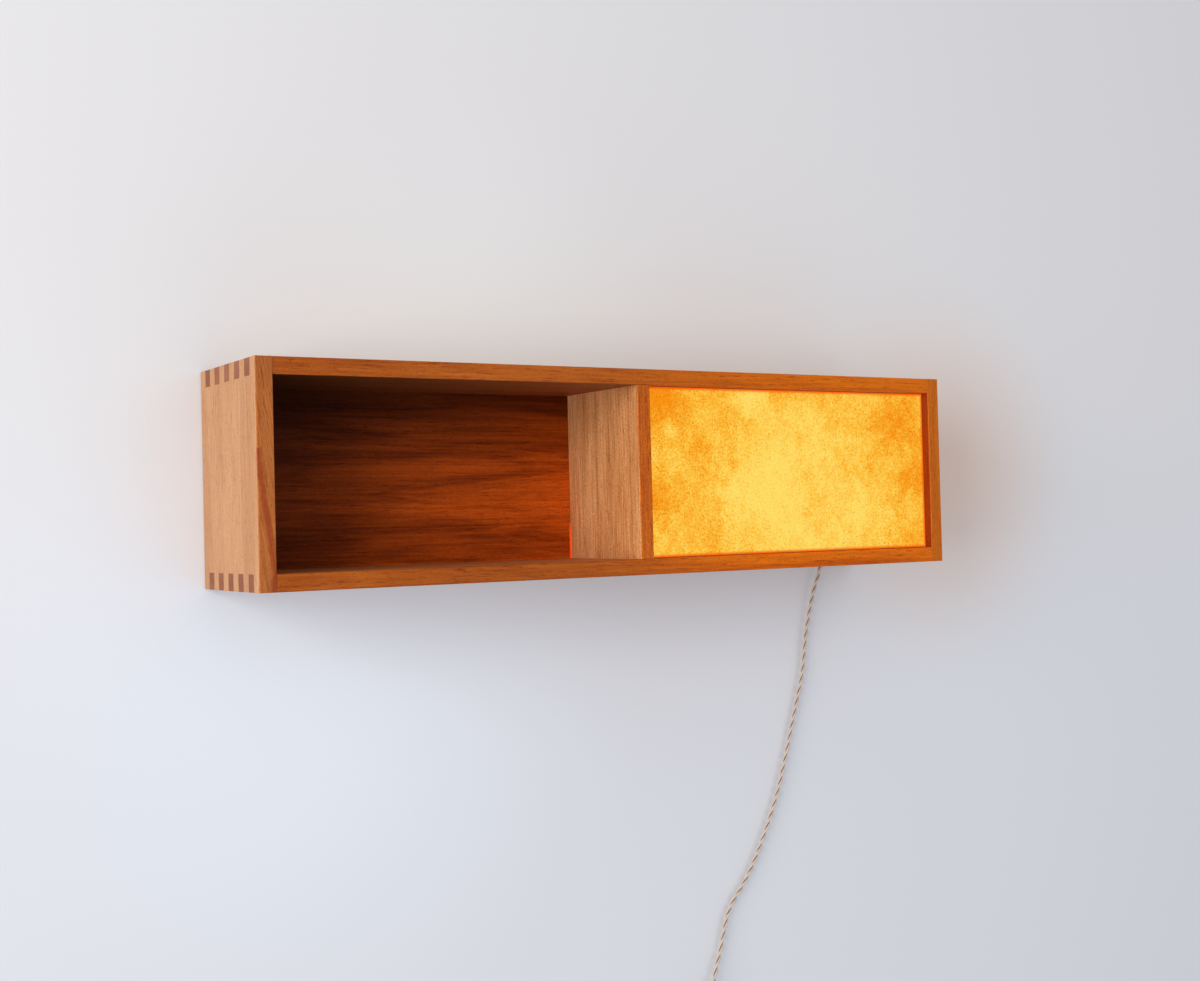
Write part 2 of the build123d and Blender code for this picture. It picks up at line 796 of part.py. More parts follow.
def rocker():
    """A disc's segment about the pin, with a shallow V for its two faces, tipped to one side."""
    half = rocker_length / 2
    width = rocker_width
    shape = rod((-width / 2, 0, 0), (width / 2, 0, 0), half)
    rise = half * tan(radians(rocker_tilt))
    front = [(-rocker_pivot_depth, 0), (-rocker_pivot_depth - 2 * rise, 2 * half),
             (-3 * half, 2 * half), (-3 * half, -2 * half), (-rocker_pivot_depth - 2 * rise, -2 * half)]
    shape -= bevelled_strip(-width, width, front)
    shape -= block(-width, width, rocker_back, 3 * half, -2 * half, 2 * half)
    shape -= rod((-width, 0, 0), (width, 0, 0), pin_r + pin_clearance)
    tipped = Rot(rocker_tilt, 0, 0) * shape
    return Pos(switch_x, rocker_y, rocker_z) * tipped


def switch_contacts():
    """Two brass strips on the floor of the rear half."""
    floor = switch_y + switch_thick / 2 - switch_wall
    strips = []
    for side in (-1, 1):
        x = switch_x + side * switch_contact_width
        z = rocker_z
        strips.append(block(x - switch_contact_width / 2, x + switch_contact_width / 2,
                            floor - switch_contact_thick, floor,
                            z - switch_contact_length / 2, z + switch_contact_length / 2))
    return strips


# The coil
def coil_state(turn):
    """Radius and depth of the coil's centre line after so many turns: in, across, out again."""
    across = 0.5
    inward = (coil_turns - across) / 2
    inner_r = coil_outer_r - coil_pitch * inward
    if turn <= inward:
        return coil_outer_r - coil_pitch * turn, coil_front_y
    if turn <= inward + across:
        share = (turn - inward) / across
        smooth = share * share * (3 - 2 * share)
        return inner_r, coil_front_y + coil_layer * smooth
    return inner_r + coil_pitch * (turn - inward - across), coil_back_y


def coil_point(turn):
    radius, y = coil_state(min(max(turn, 0), coil_turns))
    angle = -2 * pi * turn
    return Vector(coil_x + radius * cos(angle), y, coil_z + radius * sin(angle))


def biarc(p0, t0, p1, t1):
    """Two arcs that join and share a tangent, from p0 along t0 to p1 along t1."""
    chord, both = p1 - p0, t0 + t1
    a = 2 * (1 - t0.dot(t1))
    b = chord.dot(both)
    reach = (-b + sqrt(b * b + a * chord.dot(chord))) / a
    joint = (p0 + t0 * reach + p1 - t1 * reach) / 2
    first = TangentArc(p0, joint, tangent=t0)
    return [first, TangentArc(joint, p1, tangent=first % 1)]


def coil_path():
    """A straight start, biarcs of a quarter turn, and a straight end."""
    down = Vector(0, 0, -1)
    quarters = 4 * coil_turns
    points = [coil_point(q / 4) for q in range(quarters + 1)]
    small = 0.01
    tangents = [(coil_point(q / 4 + small) - coil_point(q / 4 - small)).normalized()
                for q in range(quarters + 1)]
    tangents[0] = tangents[-1] = down
    lead = down * cord_d
    edges = [Line(points[0] - lead, points[0])]
    for q in range(quarters):
        edges += biarc(points[q], tangents[q], points[q + 1], tangents[q + 1])
    edges.append(Line(points[-1], points[-1] + lead))
    return Wire(edges)


def coil_self_gap(path):
    """The least space between one turn's surface and another's, on points along the path."""
    count = 160 * coil_turns
    places = [path @ (i / count) for i in range(count + 1)]
    apart = ceil(2.0 * cord_d / (path.length / count)) + 1
    least = min((places[i] - places[j]).length
                for i in range(0, len(places), 2) for j in range(i + apart, len(places)))
    return least - cord_d


def coil_tie():
    """A band round the turns at the coil's left."""
    outward = [coil_point(k + 0.5) for k in range(coil_turns)]
    reach = cord_r + tie_gap
    x_low = min(p.X for p in outward) - reach
    x_high = max(p.X for p in outward) + reach
    y_low, y_high = coil_front_y - reach, coil_back_y + reach
    z0, z1 = coil_z - tie_width / 2, coil_z + tie_width / 2
    outer = block(x_low - tie_thick, x_high + tie_thick, y_low - tie_thick, y_high + tie_thick, z0, z1)
    outer = fillet(outer.edges().filter_by(Axis.Z), tie_thick + 1)
    inner = block(x_low, x_high, y_low, y_high, z0 - 1, z1 + 1)
    return outer - fillet(inner.edges().filter_by(Axis.Z), 1)


# The plug
coil_end_z = coil_z - cord_d
tail_route = [
    (switch_x, coil_back_y, coil_end_z),
    (switch_x, coil_back_y, coil_end_z - 11),
    (switch_x + 3.5, coil_back_y - 5.0, coil_end_z - 25),
    (switch_x + 3.5, coil_back_y - 5.0, coil_end_z - 36),
]
plug_x, plug_y, plug_top = tail_route[-1]
plug_top += plug_bore_depth
plug_shoulder = plug_top - plug_neck_length
plug_bottom = plug_shoulder - plug_length


def blade_places():
    return [plug_x - blade_spacing / 2, plug_x + blade_spacing / 2]


def blade(x, extra=0.0):
    return block(x - blade_thick / 2 - extra, x + blade_thick / 2 + extra,
                 plug_y - blade_width / 2 - extra, plug_y + blade_width / 2 + extra,
                 plug_bottom - blade_length, plug_bottom + blade_inset + extra)


def plug_body():
    shape = block(plug_x - plug_width / 2, plug_x + plug_width / 2, plug_y - plug_thick / 2,
                  plug_y + plug_thick / 2, plug_bottom, plug_shoulder)
    shape = fillet(shape.edges().filter_by(Axis.Z), plug_corner)
    shape = fillet(shape.edges().group_by(Axis.Z)[-1], plug_corner / 2)
    shape += cone((plug_x, plug_y, plug_shoulder), (plug_x, plug_y, plug_top), plug_neck_base_r,
                  plug_neck_r)
    shape -= rod((plug_x, plug_y, plug_top + 1), (plug_x, plug_y, plug_top - plug_bore_depth),
                 cord_r + cord_bore_clearance)
    for x in blade_places():
        shape -= blade(x, blade_clearance)
    return shape


# Everything, one node a file
def wooden_box():
    bottom = long_board(floor_in, floor_out)
    bottom -= rod((cord_x, cord_exit_y, floor_in + 1), (cord_x, cord_exit_y, floor_out - 1),
                  cord_r + cord_hole_clearance)
    bottom = drill_clamp_screws(drill_brads(bottom, "bottom"))
    save("bottom_board", bottom - terminal_mount_screw(screw_clearance))
    save("top_board", drill_brads(long_board(top_in, top_out), "top"))
    save("side_left", side_board(-1))
    right = drill_holder_screws(drill_brads(side_board(1), "right"), inner_x, -1)
    save("side_right", right)
    middle = drill_holder_screws(drill_brads(divider(), "left"), divider_right, 1)
    save("divider", drill_cover_screws(middle))
    save("niche_back", drill_cleat_screws(niche_back()))
    save("light_rail", drill_cleat_screws(light_rail()))
    save("light_cover", light_cover())
    post = block(inner_x - batten, inner_x, batten_y, back_front_y, floor_in, rail_bottom)
    save("batten_right", drill_cover_screws(post))
    save("batten_bottom", block(divider_right, inner_x - batten, batten_y, back_front_y, floor_in,
                                floor_in + batten))
    save("cover_screws", *[cover_screw(x, z) for x, z in cover_screw_places()])


def hanging_cleats():
    save("wall_cleat", wall_cleat())
    save("box_cleat", box_cleat())
    save("box_cleat_screws", *[cleat_screw(x, z) for x, z in cleat_screw_places()])


def screen():
    save("parchment_screen", screen_sheet(parchment_y, parchment_thick))
    save("screen_pane", screen_sheet(pane_y, pane_thick))
    for name in ("top", "bottom", "left", "right"):
        save(f"stop_{name}", stop_strip(name))
    save("stop_brads", *[rod(head, tip, brad_r) for _, head, tip in brad_places()])


def lamps():
    screws = []
    for name, wall_x, sign in (("left", divider_right, 1), ("right", inner_x, -1)):
        save(f"lampholder_{name}", lampholder(wall_x, sign))
        save(f"socket_sleeve_{name}", socket_sleeve(wall_x, sign))
        save(f"socket_contact_{name}", socket_contact(wall_x, sign))
        save(f"bulb_cap_{name}", bulb_cap(wall_x, sign))
        save(f"bulb_glass_{name}", bulb_glass(wall_x, sign))
        save(f"bulb_filament_{name}", bulb_filament(wall_x, sign))
        save(f"wires_{name}", *lamp_wires(wall_x, sign))
        screws += [pan_screw(head, tip, screw_r, holder_screw_head_r)
                   for head, tip in holder_screws(wall_x, sign)]
    save("lampholder_screws", *screws)


def wiring():
    save("terminal_block", terminal_block())
    save("terminal_screws", *terminal_top_screws())
    save("cord_clamp", cord_clamp())
    save("clamp_screws", *clamp_screws())


def cord_switch():
    save("switch_front_shell", switch_shell(True))
    save("switch_back_shell", switch_shell(False))
    save("switch_rocker", rocker())
    save("rocker_pin", rocker_pin())
    save("switch_contacts", *switch_contacts())
    save("switch_screws", *[switch_screw(x, z) for x, z in switch_screw_places()])


def cords():
    lower_start = (switch_x, switch_y, switch_bottom + switch_end_wall)
    lower_end = (switch_x, switch_y, coil_z + cord_d)
    upper = upper_route[:-1] + [(switch_x, switch_y, switch_top - switch_end_wall)]
    for name, route in (("cord_inside", inner_route), ("cord_upper", upper), ("cord_tail", tail_route)):
        path, radii = rounded_path(route, 3 * cord_d)
        shape, match = tube(path, cord_r)
        print(name, "length", round(path.length, 1), "volume match", round(match, 4),
              "radii", [round(r) for r in radii])
        save(name, shape)
    save("cord_lower", rod(lower_start, lower_end, cord_r))
    path = coil_path()
    shape, match = tube(path, cord_r)
    print("cord_coil length", round(path.length, 1), "volume match", round(match, 4),
          "least self-gap", round(coil_self_gap(path), 2))
    save("cord_coil", shape)
    save("coil_tie", coil_tie())
    save("plug_body", plug_body())
    save("plug_blades", *[blade(x) for x in blade_places()])


os.makedirs("parts", exist_ok=True)
wooden_box()
hanging_cleats()
screen()
lamps()
wiring()
cord_switch()
cords()
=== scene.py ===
import json
from math import cos, pi, radians, sin, tau

import bpy
from mathutils import Euler, Matrix, Vector
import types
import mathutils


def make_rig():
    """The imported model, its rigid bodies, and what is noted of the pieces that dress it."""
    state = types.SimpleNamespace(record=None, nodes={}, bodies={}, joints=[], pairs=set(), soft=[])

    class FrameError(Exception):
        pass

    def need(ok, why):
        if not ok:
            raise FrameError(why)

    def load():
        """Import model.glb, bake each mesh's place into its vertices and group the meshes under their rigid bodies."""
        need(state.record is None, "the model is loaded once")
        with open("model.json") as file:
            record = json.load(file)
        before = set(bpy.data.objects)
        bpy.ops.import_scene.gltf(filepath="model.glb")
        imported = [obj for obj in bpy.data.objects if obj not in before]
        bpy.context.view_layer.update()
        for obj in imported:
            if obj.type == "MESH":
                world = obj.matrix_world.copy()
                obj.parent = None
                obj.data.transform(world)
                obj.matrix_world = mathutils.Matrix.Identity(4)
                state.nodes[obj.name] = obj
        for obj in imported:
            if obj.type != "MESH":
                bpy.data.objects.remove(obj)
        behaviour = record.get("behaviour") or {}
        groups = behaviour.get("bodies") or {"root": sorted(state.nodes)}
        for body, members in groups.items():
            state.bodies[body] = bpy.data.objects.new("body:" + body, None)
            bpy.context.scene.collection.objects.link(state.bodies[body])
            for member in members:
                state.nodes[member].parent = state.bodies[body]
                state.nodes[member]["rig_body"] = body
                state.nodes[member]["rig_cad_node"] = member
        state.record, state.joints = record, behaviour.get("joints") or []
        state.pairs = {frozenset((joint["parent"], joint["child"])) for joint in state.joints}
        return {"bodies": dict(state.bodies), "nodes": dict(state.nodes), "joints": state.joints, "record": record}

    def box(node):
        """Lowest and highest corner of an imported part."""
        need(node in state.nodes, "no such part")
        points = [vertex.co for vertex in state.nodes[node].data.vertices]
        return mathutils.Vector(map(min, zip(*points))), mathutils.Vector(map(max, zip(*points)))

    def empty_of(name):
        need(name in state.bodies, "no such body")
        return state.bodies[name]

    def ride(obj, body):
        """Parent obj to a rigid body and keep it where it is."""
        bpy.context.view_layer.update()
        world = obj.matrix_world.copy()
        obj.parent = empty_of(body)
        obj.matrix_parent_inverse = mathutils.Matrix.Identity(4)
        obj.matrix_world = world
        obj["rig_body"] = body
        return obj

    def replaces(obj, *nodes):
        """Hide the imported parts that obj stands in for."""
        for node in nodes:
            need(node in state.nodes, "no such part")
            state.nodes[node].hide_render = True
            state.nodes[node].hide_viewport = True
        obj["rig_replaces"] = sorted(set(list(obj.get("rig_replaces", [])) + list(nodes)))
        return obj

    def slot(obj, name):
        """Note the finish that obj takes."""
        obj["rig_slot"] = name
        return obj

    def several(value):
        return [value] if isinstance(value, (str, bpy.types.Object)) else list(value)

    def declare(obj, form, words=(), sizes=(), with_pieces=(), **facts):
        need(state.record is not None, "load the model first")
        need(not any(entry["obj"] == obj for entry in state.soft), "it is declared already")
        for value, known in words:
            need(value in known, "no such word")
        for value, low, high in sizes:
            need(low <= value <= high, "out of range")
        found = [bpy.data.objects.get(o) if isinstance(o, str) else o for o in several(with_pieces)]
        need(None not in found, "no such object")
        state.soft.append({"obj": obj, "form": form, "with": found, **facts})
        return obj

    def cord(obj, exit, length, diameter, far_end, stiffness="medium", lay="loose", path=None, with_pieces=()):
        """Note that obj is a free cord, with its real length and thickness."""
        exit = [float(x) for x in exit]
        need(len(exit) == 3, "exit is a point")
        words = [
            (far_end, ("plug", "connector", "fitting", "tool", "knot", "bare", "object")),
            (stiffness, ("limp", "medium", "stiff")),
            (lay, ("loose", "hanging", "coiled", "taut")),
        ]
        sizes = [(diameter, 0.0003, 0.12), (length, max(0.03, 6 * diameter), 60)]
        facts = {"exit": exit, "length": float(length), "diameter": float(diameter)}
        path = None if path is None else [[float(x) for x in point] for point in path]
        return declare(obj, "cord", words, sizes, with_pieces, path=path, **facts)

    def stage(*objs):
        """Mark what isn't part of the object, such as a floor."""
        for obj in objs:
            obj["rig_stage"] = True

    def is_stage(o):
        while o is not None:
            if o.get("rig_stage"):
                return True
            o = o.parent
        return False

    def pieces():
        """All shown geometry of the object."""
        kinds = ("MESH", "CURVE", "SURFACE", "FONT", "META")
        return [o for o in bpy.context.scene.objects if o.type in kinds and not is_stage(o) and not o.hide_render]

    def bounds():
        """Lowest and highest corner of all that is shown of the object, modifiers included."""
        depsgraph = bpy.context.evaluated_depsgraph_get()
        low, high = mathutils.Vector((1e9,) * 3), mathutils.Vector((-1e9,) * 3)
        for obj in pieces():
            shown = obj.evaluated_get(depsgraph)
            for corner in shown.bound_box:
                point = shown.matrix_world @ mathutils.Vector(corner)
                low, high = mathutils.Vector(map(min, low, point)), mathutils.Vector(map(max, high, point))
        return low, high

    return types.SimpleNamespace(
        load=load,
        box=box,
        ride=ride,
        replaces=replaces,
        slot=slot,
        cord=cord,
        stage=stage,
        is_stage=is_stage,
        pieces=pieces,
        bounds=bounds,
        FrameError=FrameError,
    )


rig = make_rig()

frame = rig.load()
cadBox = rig.bounds()
print("frame loaded")


# places that later pieces use, all from the frame
boxLow, boxHigh = (Vector(c) for c in (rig.box("side_left")[0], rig.box("side_right")[1]))
screenLow, screenHigh = (Vector(c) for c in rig.box("parchment_screen"))
dividerLow, dividerHigh = (Vector(c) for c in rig.box("divider"))
innerLow = Vector((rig.box("side_left")[1][0], boxLow.y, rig.box("bottom_board")[1][2]))
innerHigh = Vector((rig.box("side_right")[0][0], boxHigh.y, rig.box("top_board")[0][2]))


# camera, at the photograph's viewpoint
cameraLook = {
    "focalPixels": 1547.07,
    "imageWidth": 1200,
    "sensor": 36.0,
    "place": (-0.84596, -1.44756, -0.10154),
    "turn": 31.5067,  # degrees to the right
    "tilt": 1.1477,  # degrees up
    "roll": -1.4751,
}


def addCamera(look):
    data = bpy.data.cameras.new("camera")
    data.sensor_width = look["sensor"]
    data.lens = look["focalPixels"] / look["imageWidth"] * look["sensor"]
    camera = bpy.data.objects.new("camera", data)
    bpy.context.collection.objects.link(camera)
    aim = Euler((radians(90 + look["tilt"]), 0, -radians(look["turn"]))).to_matrix()
    roll = Matrix.Rotation(radians(look["roll"]), 3, "Z")
    camera.rotation_euler = (aim @ roll).to_euler()
    camera.location = look["place"]
    bpy.context.scene.camera = camera


addCamera(cameraLook)
print("camera placed")


# small helpers for node materials
def newMaterial(name):
    material = bpy.data.materials.new(name)
    material.use_nodes = True
    return material, material.node_tree, material.node_tree.nodes["Principled BSDF"]


def putNode(tree, kind, settings=None, **inputs):
    node = tree.nodes.new("ShaderNode" + kind)
    for key, value in (settings or {}).items():
        setattr(node, key, value)
    for key, value in inputs.items():
        socket = node.inputs[int(key[1:])] if key[0] == "i" and key[1:].isdigit() else node.inputs[key]
        if isinstance(value, bpy.types.NodeSocket):
            tree.links.new(value, socket)
        else:
            socket.default_value = value
    return node


def maths(tree, operation, first, second=0.0):
    return putNode(tree, "Math", {"operation": operation}, i0=first, i1=second).outputs[0]


def product(tree, first, *others):
    for other in others:
        first = maths(tree, "MULTIPLY", first, other)
    return first


# the distance between two values, either way
def apart(tree, value, middle):
    return maths(tree, "ABSOLUTE", maths(tree, "SUBTRACT", value, middle))


def mixColours(tree, factor, first, second, blend="MIX"):
    node = putNode(tree, "Mix", {"data_type": "RGBA", "blend_type": blend, "clamp_result": False})
    for socket, value in ((node.inputs[0], factor), (node.inputs[6], first), (node.inputs[7], second)):
        if isinstance(value, bpy.types.NodeSocket):
            tree.links.new(value, socket)
        else:
            socket.default_value = (*value, 1) if isinstance(value, tuple) else value
    return node.outputs[2]


def tinted(tree, colour, tint, share):
    whole = mixColours(tree, 1.0, colour, tint, "MULTIPLY")
    return mixColours(tree, share, colour, whole)


def ramp(tree, value, low, high, lowOut=0.0, highOut=1.0, kind="SMOOTHSTEP"):
    node = putNode(tree, "MapRange", {"interpolation_type": kind}, i0=value, i1=low, i2=high,
                   i3=lowOut, i4=highOut)
    return node.outputs[0]


def objectPlace(tree):
    return putNode(tree, "TexCoord").outputs["Object"]


def parts(tree, vector):
    return putNode(tree, "SeparateXYZ", Vector=vector).outputs


def normalParts(tree):
    return parts(tree, putNode(tree, "TexCoord").outputs["Normal"])


def stretched(tree, place, scale, shift, turn=(0, 0, 0)):
    turned = putNode(tree, "Mapping", Vector=place, Rotation=turn, Location=shift)
    return putNode(tree, "Mapping", Vector=turned.outputs[0], Scale=scale).outputs[0]


def noise(tree, place, scale, detail, roughness, distortion=0.0):
    node = putNode(tree, "TexNoise", Vector=place, Scale=scale, Detail=detail,
                   Roughness=roughness, Distortion=distortion)
    return node.outputs[0]


def bump(tree, height, strength, distance):
    node = putNode(tree, "Bump", Height=height, Strength=strength, Distance=distance)
    return node.outputs[0]


def srgb(red, green, blue):
    def linear(c):
        c = c / 255
        return c / 12.92 if c <= 0.04045 else ((c + 0.055) / 1.055) ** 2.4
    return (linear(red), linear(green), linear(blue))


def grey(tree, value):
    return putNode(tree, "CombineColor", i0=value, i1=value, i2=value).outputs[0]


def setInputs(shader, values):
    for key, value in values.items():
        shader.inputs[key].default_value = value


facing = 0.6  # a face looks along an axis when its normal reaches this far along it
insideSlack = 0.0002  # metres past the inner faces that still count as inside


def faceShare(tree, axis):
    return maths(tree, "GREATER_THAN", maths(tree, "ABSOLUTE", normalParts(tree)[axis]), facing)


# how far a place is from a spot, across and up
def distanceTo(tree, across, up, spot, squash=1.0):
    sideways = maths(tree, "SUBTRACT", across, spot[0])
    upward = product(tree, maths(tree, "SUBTRACT", up, spot[1]), squash)
    squares = maths(tree, "ADD", product(tree, sideways, sideways), product(tree, upward, upward))
    return maths(tree, "SQRT", squares)


# painted pools of light and shade laid over a colour: each has a place, a reach and a tint
def paintPools(tree, colour, across, up, casts):
    for spot, reach, tint in casts:
        near = ramp(tree, distanceTo(tree, across, up, spot), reach, 0.0)
        colour = tinted(tree, colour, tint, near)
    return colour


def insideShare(tree, place):
    sideways, _, upward = parts(tree, place)
    middle, half = (innerLow + innerHigh) / 2, (innerHigh - innerLow) / 2
    over = maths(tree, "MAXIMUM", maths(tree, "SUBTRACT", apart(tree, sideways, middle.x), half.x),
                 maths(tree, "SUBTRACT", apart(tree, upward, middle.z), half.z))
    return maths(tree, "LESS_THAN", over, insideSlack)


# a redder streak of figure that runs slantwise across a front edge
def diagonalBlaze(tree, place, colour, look):
    sideways, _, upward = parts(tree, place)
    (startX, startZ), (endX, endZ) = look["start"], look["end"]
    waver = product(tree, noise(tree, place, *look["waverNoise"]), look["waver"])
    centre = maths(tree, "ADD", ramp(tree, upward, startZ, endZ, startX, endX, "LINEAR"),
                   look["waver"] / 2)
    off = apart(tree, maths(tree, "ADD", sideways, waver), centre)
    share = product(tree, ramp(tree, off, look["half"], 0.0), maths(tree, "LESS_THAN", upward, startZ),
                    faceShare(tree, 1))
    return tinted(tree, colour, look["tint"], share)


# a painted glow on the back panel's front face, for light that leaks past its edge near the floor of the niche
def leakGlow(tree, place, shader, look):
    sideways, _, upward = parts(tree, place)
    edge = ramp(tree, sideways, dividerLow.x - look["width"], dividerLow.x - look["inset"])
    low = ramp(tree, upward, innerLow.z + look["height"], innerLow.z + look["solid"] * look["height"])
    front = maths(tree, "LESS_THAN", normalParts(tree)[1], -facing)
    setInputs(shader, {"Emission Color": (*look["colour"], 1)})
    tree.links.new(product(tree, edge, low, front), shader.inputs["Emission Strength"])


# wood: long figure, fine streaks and pores along the grain, and other colours on each face direction
boardBase = {
    "length": 9, "figure": 20, "figureDetail": 5, "figureRough": 0.6, "wave": 1.2,
    "streak": 420, "pore": 950, "grit": 1300, "lines": 300,
    "figureRange": (0.3, 0.7), "streakRange": (0.34, 0.66), "poreRange": (0.57, 0.70),
    "toneRange": (0.3, 0.7), "streakShare": 0.45, "poreDepth": 0.8, "gritDepth": 0.2, "lineDepth": 0.07,
    "poreColour": (0.5, 0.3, 0.2), "rough": (0.44, 0.58), "gloss": 0.1, "ridge": 0.3,
    # a lighter tint along the front corners of the side faces: a painted highlight
    "bump": (0.25, 0.0004), "edge": (1.22, 1.28, 1.4), "arrisHighlightBand": (0.0016, 0.0004),
    # faces past the divider, around the screen, are tinted darker and redder, and the fronts warmer towards the
    # screen: painted light from the screen, with shade in the recess
    "recessGlow": (1.0, 0.6, 0.35), "recessGlowSlack": 0.001, "warmGlowBand": (-0.08, 0.16),
}
# noises along the grain: length over width, detail, roughness, distortion
grainNoises = {"streak": (34, 5, 0.68, 0.3), "pore": (14, 2, 0.7, 0.0), "grit": (3, 3, 0.7, 0.0),
               "lines": (160, 3, 0.6, 0.0)}
# the pale tan of the boards' broad faces: partly the wood's own colour and partly painted sheen
sheenedTan = (srgb(216, 162, 118), srgb(188, 132, 88))
frontOrange = (srgb(190, 100, 30), srgb(146, 64, 12))
endDark = (srgb(168, 108, 78), srgb(132, 78, 54))
# darker tints for the niche's inner faces, deepest at its left: painted shade
nicheTopShade = ((0.10, 0.055, 0.025), (0.55, 0.33, 0.18))
nicheFloorShade = ((0.7, 0.5, 0.38), (1.0, 0.74, 0.56))
# a darker, redder tint for the faces around the screen: painted screen light and shade
revealGlowAndShade = (0.5, 0.14, 0.025)
frontLeft = (srgb(196, 118, 58), srgb(152, 80, 34))
# the left board's inner face is darkened: painted shade
leftLook = {**boardBase, "grain": "z", "faces": [sheenedTan, frontLeft, endDark], "tilt": (0, 0.16, 0),
            "shift": (0.35, 0.1, 0.2), "inside": ((0.2, 0.1, 0.05), (0.2, 0.1, 0.05)), "streak": 560,
            "blaze": {"start": (-0.4, -0.03), "end": (-0.386, -0.13), "half": 0.0058,
                      "waver": 0.006, "waverNoise": (60, 3, 0.6), "tint": (0.72, 0.42, 0.4)}}
# the right board's inner face and its front are tinted with painted screen light
rightLook = {**boardBase, "grain": "z", "faces": [sheenedTan, frontOrange, endDark], "shift": (0.15, 0.5, 0.4),
             "streak": 560, "inside": (revealGlowAndShade, revealGlowAndShade), "recessGlow": revealGlowAndShade, "warm": (1.24, 1.2, 0.5)}
# the top and bottom boards' fronts are warmed towards the screen: painted screen light
topLook = {**boardBase, "grain": "x", "faces": [endDark, frontOrange, sheenedTan], "shift": (0.1, 0.4, 0),
           "inside": nicheTopShade, "warm": (1.55, 1.45, 0.2)}
bottomLook = {**topLook, "shift": (0.7, 0.2, 0.1), "inside": nicheFloorShade, "warm": (1.7, 1.5, 0.03)}
# the divider's front is warmed towards the screen: painted screen light
dividerLook = {**boardBase, "grain": "z", "shift": (0.8, 0.2, 0), "streakShare": 0.6,
               "gritDepth": 0.42, "streak": 700,
               "faces": [(srgb(250, 188, 128), srgb(196, 122, 62)), frontOrange, endDark],
               "warm": (1.95, 1.55, 0.5), "lines": 380, "lineDepth": 0.13}
# the niche back: its dark front colours are partly the wood's own and partly painted shade; it is also painted darker
# to the left and the top, with painted pools of light and shade
backLook = {**boardBase, "grain": "x", "length": 8, "figure": 24, "wave": 1.7, "shift": (0.5, 0, 0.31),
            "streakShare": 0.3, "gloss": 0.04, "figureRange": (0.3, 0.66),
            "shade": {"dark": 0.5, "bright": 1.95, "start": 0.03, "top": 0.3, "topBand": 0.09},
            "figureDetail": 4, "lines": 420, "lineDepth": 0.12,
            "casts": [((-0.25, -0.12), 0.2, (1.32, 1.3, 1.1)), ((-0.12, -0.06), 0.12, (0.86, 0.84, 0.75))],
            "faces": [endDark, (srgb(164, 70, 14), srgb(92, 31, 4)), endDark],
            "leak": {"width": 0.0022, "inset": 0.0003, "height": 0.042, "solid": 0.6,
                     "colour": (0.75, 0.035, 0.002)}}
stripLook = {**boardBase, "grain": "x", "faces": [(srgb(214, 178, 130), srgb(190, 150, 104))] * 3,
             "shift": (0.2, 0.6, 0.1)}
coverLook = {**boardBase, "grain": "x", "faces": [(srgb(196, 160, 116), srgb(172, 134, 92))] * 3,
             "shift": (0.2, 0.1, 0.7), "poreDepth": 0.3}


def grainNoise(tree, place, look, ratio, scale, *settings):
    stretch = [1.0] * 3
    stretch["xyz".index(look["grain"])] = 1.0 / ratio
    along = stretched(tree, place, stretch, look["shift"])
    if "tilt" in look:
        slanted = stretched(tree, place, stretch, look["shift"], look["tilt"])
        along = mixColours(tree, faceShare(tree, 1), along, slanted)
    return noise(tree, along, scale, *settings)


# light and shade that belong to a place on the box: front corners, the niche, beside the screen
def shadeWood(tree, place, colour, look):
    sideways, depth, upward = parts(tree, place)
    # a painted highlight along the front corners of the side faces
    edge = product(tree, ramp(tree, depth, *(boxLow.y + d for d in look["arrisHighlightBand"])), faceShare(tree, 0))
    colour = tinted(tree, colour, look["edge"], edge)
    # painted shade on the niche's inner faces, deepest to the left
    if "inside" in look:
        across = ramp(tree, sideways, innerLow.x, dividerLow.x, kind="LINEAR")
        # faces past the divider take a darker, redder tint: painted screen light and shade
        recessGlow = maths(tree, "GREATER_THAN", sideways, dividerHigh.x - look["recessGlowSlack"])
        tint = mixColours(tree, recessGlow, mixColours(tree, across, *look["inside"]), look["recessGlow"])
        colour = tinted(tree, colour, tint, insideShare(tree, place))
    # the fronts are warmed towards the screen: painted screen light
    if "warm" in look:
        share = product(tree, ramp(tree, sideways, *look["warmGlowBand"]), faceShare(tree, 1))
        colour = tinted(tree, colour, look["warm"], share)
    # painted shade: darker to the left and the top of the niche, lighter to the right
    if "shade" in look:
        shade = look["shade"]
        across = ramp(tree, sideways, innerLow.x + shade["start"], dividerLow.x,
                      shade["dark"], shade["bright"])
        up = ramp(tree, upward, innerHigh.z, innerHigh.z - shade["topBand"], shade["top"], 1.0)
        colour = mixColours(tree, 1.0, colour, grey(tree, product(tree, across, up)), "MULTIPLY")
    # painted pools of light and shade
    colour = paintPools(tree, colour, sideways, upward, look.get("casts", []))
    if "blaze" in look:
        colour = diagonalBlaze(tree, place, colour, look["blaze"])
    return colour


